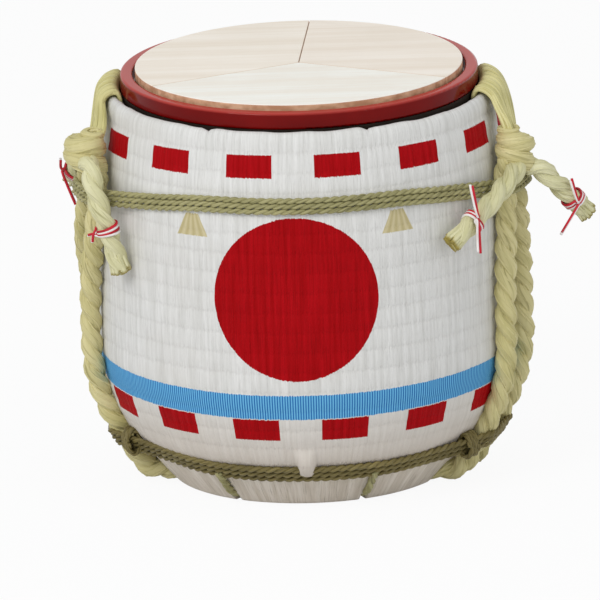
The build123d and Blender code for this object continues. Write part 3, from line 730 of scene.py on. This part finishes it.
class Bundle:
    """Collects strands and straws as splines, then turns them into one mesh."""

    def __init__(self, name, rings=4):
        self.name = name
        self.curve = new_curve(name)
        self.curve.bevel_depth = 1.0
        self.curve.bevel_resolution = rings
        self.sides = 4 + 2 * rings
        self.lay = []
        self.cut = []
        self.dice = random.Random(name)

    def strand(self, spots, radii, cut_length=0.0):
        """One tube in metres, with one radius or many; a length at its end may be marked as cut."""
        count = len(spots)
        spline = self.curve.splines.new("POLY")
        spline.points.add(count - 1)
        spline.points.foreach_set("co", np.column_stack([spots, np.ones(count)]).ravel())
        spline.points.foreach_set("radius", np.full(count, radii))
        spline.use_smooth = True
        along = travelled(spots)
        turn = np.arange(self.sides) * 2 * pi / self.sides
        shift = np.array([self.dice.uniform(0, 5) for _ in range(3)])
        ring = np.stack([np.cos(turn), np.sin(turn), 0 * turn], axis=1) * np.max(radii)
        run = np.outer(along, (0.0, 0.0, 1.0))
        self.lay.append((ring + run[:, None] + shift).reshape(-1, 3))
        self.cut.append(np.repeat(along > along[-1] - cut_length, self.sides).astype(float))

    def rope(self, line, width, lay, plump=0.355, offset=0.172, step=0.0012, straws=6, flare=0.0,
             cut_length=0.0, phase=0.0, straw_size=0.00045):
        """A laid rope of the given width along a line."""
        spots, along = paced(line, step)
        swell = 1 + flare * np.clip((along - along[-1] + FLARE_LENGTH) / FLARE_LENGTH, 0, 1) ** 2
        for index in range(STRANDS):
            angle = -2 * pi * along / lay + 2 * pi * index / STRANDS + phase
            centre = wound(spots, angle, offset * width * (1 + 0.6 * (swell - 1)))
            wobble = [1 + 0.05 * noise.noise(Vector((a * 90.0, index * 7.0, phase))) for a in along]
            radii = plump * width * swell * np.array(wobble)
            self.strand(centre, radii, cut_length)
            self.straws(centre, radii, straws, lay * 2.4, straw_size, cut_length)

    def straws(self, centre, radii, count, lay, thick, cut_length):
        """Straws half sunk in a strand's skin."""
        along = travelled(centre)
        stride = 2 if len(centre) > 40 else 1
        for index in range(count):
            turn = 2 * pi * (index + self.dice.uniform(-0.3, 0.3)) / count
            spots = wound(centre, turn - 2 * pi * along / lay, radii - thick * self.dice.uniform(0.2, 0.75))
            self.strand(spots[::stride], thick * self.dice.uniform(0.7, 1.25), cut_length)

    def brush(self, line, width, length):
        """A flared bunch of cut stems at the end of a line."""
        spots, along = paced(line, 0.0016)
        spots = spots[along > along[-1] - length]
        share = np.linspace(0.0, 1.0, len(spots))
        for index in range(BRUSH_STEMS):
            angle = np.full(len(spots), GOLDEN_TURN * index)
            stem = wound(spots, angle, width * sqrt((index + 0.5) / BRUSH_STEMS) * (0.35 + 0.13 * share**2))
            stem = stem[: len(stem) - self.dice.choice((0, 0, 0, 1))]
            self.strand(stem, width * self.dice.uniform(0.075, 0.11), BRUSH_CUT)

    def piece(self, material, node):
        """Close the ends and make the piece that replaces a node."""
        mesh = drawn_mesh(self.curve)
        lay = np.concatenate(self.lay)
        mesh.attributes.new("lay", "FLOAT_VECTOR", "POINT").data.foreach_set("vector", lay.ravel())
        mesh.attributes.new("cut", "FLOAT", "POINT").data.foreach_set("value", np.concatenate(self.cut))
        bm = bmesh.new()
        bm.from_mesh(mesh)
        bpy.data.meshes.remove(mesh)
        ends = [edge for edge in bm.edges if edge.is_boundary]
        bmesh.ops.holes_fill(bm, edges=ends, sides=self.sides)
        bmesh.ops.recalc_face_normals(bm, faces=bm.faces)
        finish_piece(self.name, bm, material, node)


# %% [markdown]
# ## The two thick ropes
# Each thick rope starts in the knot on one side, runs down the matting, passes under the base and climbs
# the other side. Near the knot the two ropes lie side by side, and they spread towards the floor. The
# route's points sit on the wrapped body at even heights, and the rope that ties the foot presses them a
# little into the matting.

# %% Thick ropes
THICK_ROPE = 10.4
LEG_OUT = 5.8
LEG_TOP_Z = 164.0
SPREAD_Z = (156.9, 84.0)
PRESS = 2.0
PRESS_Z = 22.0


def leg_route(which, side):
    """Route points of one leg, from the knot down to the middle of the base."""
    low_az = LEG_AZ[which][side]
    top_az = LEG_TOP_AZ[which][side]
    high, low = SPREAD_Z
    levels = [high - (high - low) * i / 6 for i in range(7)] + [low - 16.0 * i for i in range(1, 5)]
    points = [polar(wrap_radius(LEG_TOP_Z, 8.6), top_az, LEG_TOP_Z)]
    for z in levels:
        share = smooth_step((high - z) / (high - low))
        pressed = PRESS * max(0.0, 1.0 - ((z - PRESS_Z) / PRESS_Z) ** 2)
        points.append(polar(wrap_radius(z, LEG_OUT - pressed), top_az + (low_az - top_az) * share, z))
    start, end = under_ends(which) if side == 0 else under_ends(which)[::-1]
    points.append(polar(wrap_radius(9.5, 6.4), low_az, 9.5))
    return points + [start, start + (end - start).normalized() * 13.0 * MM]


for which, phase in (("front", 1.0), ("rear", 2.2)):
    route = leg_route(which, 0) + leg_route(which, 1)[::-1]
    rope = Bundle(f"thick_rope_{which}")
    rope.rope(read_route(route), THICK_ROPE * MM, 23.0 * MM, straws=7, phase=phase)
    rope.piece(thick_straw, f"rope_{which}")

# %% [markdown]
# ## Knots
# Where the ropes meet at the shoulder they are wrapped into a fat knot: nearly two plump turns that climb
# as they go round, and a thin collar where the neck straw comes in. The turns are points of one spline.
# Its ends are led into the middle of the knot, so that no cut end shows.

# %% Knots
KNOT = {"right": polar(110.1, 71.0, 168.65), "left": polar(110.1, -71.0, 168.65)}
KNOT_FORM = {"right": (0.0, 0.0, 5.9, 9.8, -3.2), "left": (-0.8, 4.6, 6.5, 10.4, 3.2)}
COLLAR_R = 3.9
for side_name, (aside, lifted, wide, width, lean) in KNOT_FORM.items():
    middle = KNOT[side_name] + Vector((aside, 0.0, lifted)) * MM
    points = [middle + Vector((0.0, 1.0, -8.0)) * MM]
    for step in range(23):
        turns = step / 12
        angle = pi / 2 - 2 * pi * turns
        reach = wide - 0.7 * turns
        rise = -7.9 + 7.4 * turns + 2.2 * (turns - 0.9) * cos(angle)
        points.append(middle + Vector((reach * cos(angle), reach * sin(angle), rise)) * MM)
    points += [middle + Vector((0.5, 1.5, 4.0)) * MM, middle]
    knot = Bundle(f"rope_knot_{side_name}", rings=5)
    knot.rope(read_route(points), width * MM, 50.0 * MM, plump=0.42, offset=0.11, step=0.001,
              straws=11, phase=0.4, straw_size=0.0006)
    collar = []
    for step in range(15):
        angle = 2 * pi * step / 12
        ring = Vector((COLLAR_R * cos(angle) + lean, COLLAR_R * sin(angle), 9.4 - 0.12 * step))
        collar.append(middle + ring * MM)
    knot.rope(read_route(collar), 3.4 * MM, 40.0 * MM, plump=0.45, offset=0.1, step=0.001, straws=3)
    knot.piece(thick_straw, f"knot_{side_name}")

# %% [markdown]
# ## Neck straw
# From the knot a bundle of loose straw goes up over the shoulder and in under the rim. It is not laid
# into a rope, so it is made of single stems, each a spline of its own that starts spread at the rim and
# draws together in the knot.

# %% Neck straw
NECK_STEMS = 84
NECK_FAN = {"right": (1.0, 86.0, 14.5, -1.2, 0.0), "left": (-1.0, 92.0, 13.0, -0.3, -2.6)}


def neck_route(centre, fan, deep, slant, hand, middle_az, half_az, drop, pull):
    """One stem from the rim to the knot; fan goes across the bundle and deep into it."""
    out = polar(1.0, hand * 73.0) / MM
    across = Vector((-out.y, out.x, 0.0)) * hand
    rim_az = middle_az + half_az * fan
    shoulder_az = middle_az - 2.0 + 0.86 * half_az * fan + slant
    low_az = 0.6 * middle_az + 27.9 + 8.6 * fan
    return [
        polar(88.6, hand * rim_az, 191.5),
        polar(88.9 + 0.4 * deep, hand * rim_az, 196.0 + drop + 1.4 * deep),
        polar(92.4, hand * (rim_az + slant), 197.0 + drop + 1.8 * deep),
        polar(97.6 + 1.2 * deep, hand * shoulder_az, 194.0 + drop + 2.0 * deep),
        polar(100.2 + 0.8 * pull + 2.2 * deep, hand * low_az, 188.0),
        centre + (out * (4.2 * deep - 5.2 + pull) + across * 4.6 * fan + UP * 13.0) * MM,
        centre + (out * (3.6 * deep - 3.4) + across * 2.4 * fan + UP * 5.0) * MM,
    ]


for side_name, centre in KNOT.items():
    neck = Bundle(f"neck_straw_{side_name}", rings=2)
    for index in range(NECK_STEMS):
        fan = 2 * (index + neck.dice.uniform(0.0, 1.0)) / NECK_STEMS - 1
        deep = neck.dice.uniform(0.0, 1.0)
        slant = neck.dice.uniform(-1.2, 1.2)
        route = neck_route(centre, fan, deep, slant, *NECK_FAN[side_name])
        spots = paced(read_route(route, 6), 0.0018)[0]
        neck.strand(spots, neck.dice.uniform(0.7, 1.15) * MM)
    neck.piece(neck_straw, f"neck_rope_{side_name}")

# %% [markdown]
# ## Tails and paper cords
# Two cut ends of rope hang from each knot. They are paler, and each one ends in a flared bunch of cut
# straw. A pair of paper cords, one red and one white, is tied round each tail: two turns that meet at a
# small knot, with both ends standing off.

# %% Tails
TAIL_ROPE = 9.8
TAIL_BRUSH = 10.2
TAIL_FORM = {
    "right_front": ((0, -1, 0), -9.0, [(-2, -4.5, -2), (-16, -25, -13.5), (-33, -36, -26.8)]),
    "right_rear": ((1, 0, 0), -9.6, [(4.5, 0.5, -4.5), (13, 6, -14.5), (24.5, 12.5, -28.3)]),
    "left_front": ((0, -1, 0), 0.6, [(1.5, -4.5, -0.5), (2, -10, -8), (8, -13.5, -27), (15, -12, -51.4)]),
    "left_rear": ((0, 1, 0), -2.4, [(-1, 6, 0), (-5, 20, -6), (-8, 42, -20)]),
}
tail_lines = {}
for name, (away, rise, steps) in TAIL_FORM.items():
    away = Vector(away)
    start = KNOT[name.split("_")[0]] + away * 10.3 * MM + UP * rise * MM
    points = [start - away * 5.0 * MM, start] + [start + Vector(step) * MM for step in steps]
    tail_lines[name] = read_route(points)
    tail = Bundle(f"rope_tail_{name}", rings=5)
    tail.rope(tail_lines[name], TAIL_ROPE * MM, 26.0 * MM, straws=8, flare=-0.3, cut_length=ROPE_CUT,
              phase=0.9)
    tail.brush(tail_lines[name], TAIL_BRUSH * MM, 16.0 * MM)
    tail.piece(tail_straw, f"tail_{name}")


# %% Paper cord materials
def paper_material(name, main, shade):
    material, tree, shader = new_material(name, Specular_IOR_Level=0.4)
    lay = add(tree, "Attribute", attribute_name="lay").outputs["Vector"]
    lines = effect(fibres, Vector=lay, Across=1600.0, Along=300.0)
    colour = mix(lines["Broad"], shade, main)
    dress(shader, colour, lines["Streaks"], (0.58, 0.42), lines["Height"], 0.0002, 0.5)
    return material


red_paper = paper_material("red_paper", (206, 18, 44), (168, 8, 28))
white_paper = paper_material("white_paper", (248, 244, 242), (226, 218, 216))
print("paper", red_paper.name, white_paper.name)

# %% Paper cords
CORD_R = 0.68
CORD_LOOP_R = 5.4
CORD_ENDS = {
    "right_front": ((-2.0, -3.0, 17.0), (1.0, -3.0, -17.0)),
    "right_rear": ((-2.5, -3.0, 13.0), (-8.0, -3.0, -14.0)),
    "left_front": ((-2.0, -1.0, -4.5), (-4.0, 1.0, -1.5)),
    "left_rear": ((-1.5, -2.0, 5.0), (5.0, -4.0, -17.0)),
}
CORD_FACE = {"right": Vector((0.0, -1.0, 0.25)), "left": Vector((-1.0, -0.35, 0.1))}


def cord_route(middle, run, face, ends, offset):
    """Two turns round a tail, tied on its face; offset in mm sets the two colours apart."""
    cross = run.cross(face)
    turns = []
    for step in range(33):
        angle = 2 * pi * step / 16
        drift = (offset + 3.0 * (step / 16 - 1)) * (0.75 - 0.25 * cos(angle)) * MM
        turns.append(middle + run * drift + (face * cos(angle) + cross * sin(angle)) * CORD_LOOP_R * MM)
    tie = middle + face * 5.8 * MM + run * offset * 0.3 * MM
    beside = cross * offset * 0.8 * MM
    first, last = (Vector(end) * MM for end in ends)
    lead_in = [tie + first + beside, tie + first * 0.5 + beside + face * MM, tie + face * 1.5 * MM]
    lead_out = [tie + face * 1.6 * MM, tie + last * 0.5 + beside + face * MM, tie + last + beside]
    return lead_in + turns + lead_out


for name, line in tail_lines.items():
    spots = paced(line, 0.001)[0]
    spot = int(len(spots) * (0.64 if name == "left_front" else 0.72))
    run = Vector(np.gradient(spots, axis=0)[spot]).normalized()
    face = CORD_FACE[name.split("_")[0]]
    face = (face - run * face.dot(run)).normalized()
    for colour, offset, material in (("red", 0.0, red_paper), ("white", 1.5, white_paper)):
        route = cord_route(Vector(spots[spot]), run, face, CORD_ENDS[name], offset)
        cord = Bundle(f"paper_cord_{name}_{colour}.tied", rings=2)
        way = paced(read_route(route, 8), 0.0007)[0]
        cord.strand(way, CORD_R * MM)
        cord.piece(material, f"paper_cord_{name}_{colour}")

# %% [markdown]
# ## Girth ropes and foot ties
# Three turns of thin rope hold the mat above the belly and three more at the foot. A rope that is drawn
# tight round a body with ropes on it lies on their convex hull, so the route is the hull of the body's
# circle and the circles of the four legs, taken at every turn's own height. At the legs the upper girth
# dips under the knots, and the lower one rises a little. Beside the legs the lower girth is lashed with a
# few tight turns, which are a helix round its own line.


# %% A tight turn round body and legs
def leg_centre(which, side, z):
    """Where a leg's route passes a height in mm."""
    points = leg_route(which, side)[1:]
    for a, b in zip(points, points[1:]):
        if a.z >= z * MM >= b.z:
            return a.lerp(b, (a.z - z * MM) / (a.z - b.z))
    return points[0]


def circle(radius, step):
    """Points of a circle about the axis, a step of degrees apart."""
    return [radius * MM * Vector((cos(a), sin(a))) for a in np.radians(np.arange(0, 360, step))]


def back_turn(point):
    return atan2(point.x, -point.y) % (2 * pi)


def girth_turn(z, leg_z, thick, hug):
    """Control points of one tight turn, counter-clockwise seen from above, from the back."""
    gap = thick / 2 + 0.3
    flat = circle((wrap_radius(z) + gap) * (1 / cos(radians(4.0))), 8)
    for which in LEG_AZ:
        for side in (0, 1):
            leg = leg_centre(which, side, leg_z)
            flat += [leg.xy + spot for spot in circle(hug + gap, 24)]
    hull = sorted((flat[i] for i in geometry.convex_hull_2d(flat)), key=back_turn)
    start = next(i for i, p in enumerate(hull) if back_turn(p) > pi)
    return hull[start:] + hull[:start]


DIP_FADE_AZ = 46.0


def girth_dip(point, dip):
    """How far the girth dips at a point: fully at the legs, fading out away from them."""
    azimuth = degrees(atan2(point.x, -point.y))
    side = 0 if azimuth > 0 else 1
    legs = sorted(LEG_TOP_AZ[which][side] for which in LEG_TOP_AZ)
    far = max(0.0, legs[0] - azimuth, azimuth - legs[1])
    return dip * (1 - smooth_step(far / DIP_FADE_AZ))


# %% Lashing
LASH_AZ = (-70.5, 57.5, -113.0, 93.0)
LASH_TURNS = 4


def lashing(line, azimuth):
    """A tight helix round the girth's three turns where its line passes an azimuth."""
    bearings = np.degrees(np.arctan2(line[:, 0], -line[:, 1]))
    middle = Vector(line[np.abs(bearings - azimuth) < 1.5].mean(axis=0))
    outward = Vector((middle.x, middle.y, 0.0)).normalized()
    beside = Vector((-outward.y, outward.x, 0.0))
    points = []
    for step in range(12 * LASH_TURNS + 1):
        angle = 2 * pi * step / 12
        bulge = outward * 3.4 * cos(angle) + UP * 6.0 * sin(angle)
        points.append(middle + (bulge + beside * 2.1 * (step / 12 - LASH_TURNS / 2)) * MM)
    return read_route(points, 6)


print("lashings", len(LASH_AZ))

# %% Girth ropes
THIN_LAY = {"plump": 0.3, "offset": 0.22, "step": 0.0011, "straws": 0}
CLIMB_FROM = 0.72
for name, levels, dip, thick, hug, straw in (
    ("upper", (156.8, 159.5, 162.2), 8.0, 2.6, 5.4, thin_straw),
    ("lower", (17.4, 20.2, 23.0), -3.0, 2.8, 4.5, low_straw),
):
    route = []
    for z, next_z in zip(levels, levels[1:] + levels[-1:]):
        ring = girth_turn(z, z - dip, thick, hug)
        for index, p in enumerate(ring):
            climb = (next_z - z) * max(0.0, (index / len(ring) - CLIMB_FROM) / (1 - CLIMB_FROM))
            route.append(Vector((p.x, p.y, (z + climb - girth_dip(p, dip)) * MM)))
    line = read_route(route, 5)
    girth = Bundle(f"girth_{name}", rings=2)
    girth.rope(line, thick * 1.17 * MM, 9.0 * MM, **THIN_LAY)
    if name == "lower":
        for azimuth in LASH_AZ:
            girth.rope(lashing(np.array([p[:] for p in line]), azimuth), 2.5 * MM, 8.0 * MM, **THIN_LAY)
    girth.piece(straw, f"girth_rope_{name}")

# %% Foot ties
TIE_ROPE = 3.8
TIE_TOP_Z = 15.6
TIE_LOW_Z = 2.3
for index, azimuth in enumerate(FOOT_TIE_AZ):
    route = [
        polar(wrap_radius(TIE_TOP_Z + 3.0, 2.2), azimuth, TIE_TOP_Z + 3.0),
        polar(wrap_radius(TIE_TOP_Z, 1.6), azimuth, TIE_TOP_Z),
        polar(wrap_radius(TIE_LOW_Z, 1.8), azimuth, TIE_LOW_Z),
        polar(51.0, azimuth, TIE_LOW_Z),
    ]
    tie = Bundle(f"foot_tie_{index + 1}.laid", rings=2)
    tie.rope(read_route(route, 10), TIE_ROPE * MM, 9.0 * MM, step=0.0011, straws=2, straw_size=0.0003)
    tie.piece(thin_straw, f"foot_tie_{index + 1}")

# %% [markdown]
# ## The lid boards
# The lid is one disc split into three boards that meet in the middle. Each board is cut from a full disc
# with two bisecting planes, then gets its thickness by extrusion and soft edges by a bevel. The wood is
# pale, with thin grain lines that run another way on each board and a browner sawn edge.

# %% Lid material
SAWN_EDGE_Z = 204.6


def seam_normal(angle):
    """The direction square to a seam at an angle in degrees."""
    return Vector((-sin(radians(angle)), cos(radians(angle)), 0.0))


def lid_material(name, tone, grain_turn, seams):
    """Pale wood with its grain turned by an angle and a faint line along each seam."""
    material, tree, shader = new_material(name, Specular_IOR_Level=0.3)
    place = object_place(tree)
    turn = (0.0, radians(90.0), radians(grain_turn))
    turned = add(tree, "Mapping", {"Vector": place, "Rotation": turn}).outputs[0]
    lines = effect(fibres, Vector=turned, Across=420.0, Along=9.0)
    pores = effect(fibres, Vector=turned, Across=1700.0, Along=60.0)
    layers = effect(fibres, Vector=turned, Across=900.0, Along=300.0)
    patches = effect(mottle, Vector=place, Size=0.06)
    deep = [c - less for c, less in zip(tone, (4, 7, 11))]
    pale = [min(255, c + 6) for c in tone]
    colour = mix(lines["Broad"], deep, pale)
    colour = tint(colour, (214, 190, 162), pores["Streaks"], 0.0, 0.4, 0.16, 0.0)
    colour = tint(colour, (238, 226, 209), patches["Patches"], 0.5, 1.0, 0.0, 0.25)
    for angle in seams:
        off = add(tree, "VectorMath", (place, seam_normal(angle)), operation="DOT_PRODUCT")
        from_seam = calc("ABSOLUTE", off.outputs["Value"])
        colour = tint(colour, (190, 152, 112), from_seam, 0.0002, 0.0006, 0.4, 0.0)
    edge = mix(layers["Broad"], (192, 146, 112), (230, 192, 156))
    colour = mix(calc("LESS_THAN", object_height(tree), SAWN_EDGE_Z * MM), colour, edge)
    dress(shader, colour, lines["Broad"], (0.64, 0.48), pores["Height"], 0.0002, 0.35)
    return material


# %% Lid boards
LID_R = 80.0
LID_LOW_Z = 199.0
LID_T = 6.0
SEAM_HALF = 0.15
EDGE_ROUND = 0.3
LID_BOARDS = {
    "back_right": (332.9, 445.7, (248, 239, 227), -18.0),
    "back_left": (85.7, 206.9, (249, 241, 229), 12.0),
    "front": (206.9, 332.9, (253, 250, 242), 4.0),
}


def board_shape(first, second):
    """A sector of the lid between two angles in degrees."""
    bm = bmesh.new()
    low = Matrix.Translation((0.0, 0.0, LID_LOW_Z * MM))
    bmesh.ops.create_circle(bm, cap_ends=True, segments=240, radius=LID_R * MM, matrix=low)
    for square in (seam_normal(first), -seam_normal(second)):
        bmesh.ops.bisect_plane(
            bm, geom=bm.verts[:] + bm.edges[:] + bm.faces[:], plane_co=square * SEAM_HALF * MM,
            plane_no=square, clear_inner=True,
        )
    grown = bmesh.ops.extrude_face_region(bm, geom=bm.faces[:])
    raised = [g for g in grown["geom"] if isinstance(g, bmesh.types.BMVert)]
    bmesh.ops.translate(bm, verts=raised, vec=(0.0, 0.0, LID_T * MM))
    bmesh.ops.recalc_face_normals(bm, faces=bm.faces)
    rims = [e for e in bm.edges if len(e.link_faces) == 2 and e.calc_face_angle() > radians(40)]
    bmesh.ops.bevel(
        bm, geom=rims, offset=EDGE_ROUND * MM, segments=3, profile=0.5, affect="EDGES", material=-1
    )
    return bm


for name, (first, second, tone, grain_turn) in LID_BOARDS.items():
    wood = lid_material(f"lid_wood_{name}", tone, grain_turn, (first, second))
    board = board_shape(first, second)
    finish_piece(f"lid_board_{name}", board, wood, f"lid_{name}", f"lid_{name}", False)

# %% [markdown]
# ## Finishes for the solid pieces
# The tub, the staves, the bottom boards and the hoops keep their CAD shapes and get their materials. The
# lacquer is a deep red body under a clear coat, with a painted highlight, a paler red, along the top face
# of the rim. Cedar has soft grain along the stave and painted shade, near black, at its upper end, where
# the gap under the rim is dark, and split bamboo is yellow with long fibres.

# %% Lacquer
# heights of the rim's top face, which gets a painted highlight
RIM_HIGHLIGHT_Z = (0.2013, 0.2023)
lacquer, tree, shader = new_material(
    "red_lacquer", Specular_IOR_Level=0.0, Coat_Weight=0.7, Coat_IOR=1.25, Coat_Roughness=0.08
)
place = object_place(tree)
patches = effect(mottle, Vector=place, Size=0.03)["Patches"]
colour = mix(patches, (106, 5, 4), (122, 9, 7))
# painted highlight: the rim's top face is tinted pale red in place of the reflection it would catch at a
# grazing angle
colour = tint(colour, (186, 66, 58), object_height(tree), *RIM_HIGHLIGHT_Z, 0.0, 0.9)
grit = add(tree, "TexNoise", {"Vector": place, "Scale": 900.0, "Detail": 2.0})
dress(shader, colour, patches, (0.28, 0.38), grit.outputs[0], 0.0001, 0.12)
print(lacquer.name, len(tree.nodes), "nodes")

# %% Cedar, bamboo and packed straw
# heights where the stave tops get painted shade, near black, for the dark gap under the rim
STAVE_TOP_SHADE_Z = (0.182, 0.188)


def fibre_material(name, pale, deep, dark, across, along, shaded_top=False):
    """Fibres along the axis, or round it where along is the larger number."""
    material, tree, shader = new_material(name, Specular_IOR_Level=0.3)
    place = object_place(tree)
    lines = effect(fibres, Vector=place, Across=across, Along=along)
    patches = effect(mottle, Vector=place, Size=0.04)
    colour = mix(lines["Broad"], deep, pale)
    colour = tint(colour, dark, lines["Streaks"], 0.0, 0.4, 0.5, 0.0)
    colour = tint(colour, deep, patches["Patches"], 0.5, 1.0, 0.0, 0.25)
    # painted shade: the cedar darkens to near black towards the top of the staves
    if shaded_top:
        colour = tint(colour, (12, 9, 8), object_height(tree), *STAVE_TOP_SHADE_Z, 0.0, 0.98)
    dress(shader, colour, lines["Broad"], (0.7, 0.5), lines["Height"], 0.0004, 0.5)
    return material


cedar = fibre_material("cedar", (222, 184, 138), (196, 150, 104), (150, 102, 66), 380.0, 9.0, shaded_top=True)
bamboo = fibre_material("bamboo", (206, 188, 120), (176, 156, 88), (120, 100, 50), 40.0, 900.0)
packed_straw = fibre_material("packed_straw", (206, 190, 138), (166, 148, 96), (96, 80, 44), 500.0, 40.0)
FINISHES = {"stave": cedar, "bottom": cedar, "hoop": bamboo, "tub": lacquer}
for node_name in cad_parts:
    finish = FINISHES.get(node_name.split("_")[0])
    if finish:
        mesh = bpy.data.objects[node_name].data
        mesh.materials.clear()
        mesh.materials.append(finish)
print("finishes", cedar.name, bamboo.name, lacquer.name)

# %% [markdown]
# ## The straw filling
# Loose straw fills the space between the cask and the mat. It only shows from above, when the tub is
# lifted out, so it is a spun ring whose skin is pushed about by noise, in a packed straw finish made here.

# %% Straw filling
FILL_LEVELS = [20.0 + 4.1 * i for i in range(41)]
STAVE_FOOT_R, STAVE_TOP_R = 72.5, 87.1
STAVE_FOOT_Z, STAVE_TOP_Z = 13.0, 194.2
HOOP_ROOM = 3.2
stave_slope = (STAVE_TOP_R - STAVE_FOOT_R) / (STAVE_TOP_Z - STAVE_FOOT_Z)
fill_section = [(wrap_radius(z, -3.7), z) for z in FILL_LEVELS]
for z in (SHOULDER_Z, 102.0, FILL_LEVELS[0]):
    fill_section.append((STAVE_FOOT_R + stave_slope * (z - STAVE_FOOT_Z) + HOOP_ROOM, z))
fill_bm = spun(fill_section, 180)
for vert in fill_bm.verts:
    vert.co.z -= 0.9 * abs(noise.noise(vert.co * 160.0)) * MM
straw_filling = finish_piece("straw_filling", fill_bm, packed_straw, "straw_padding")
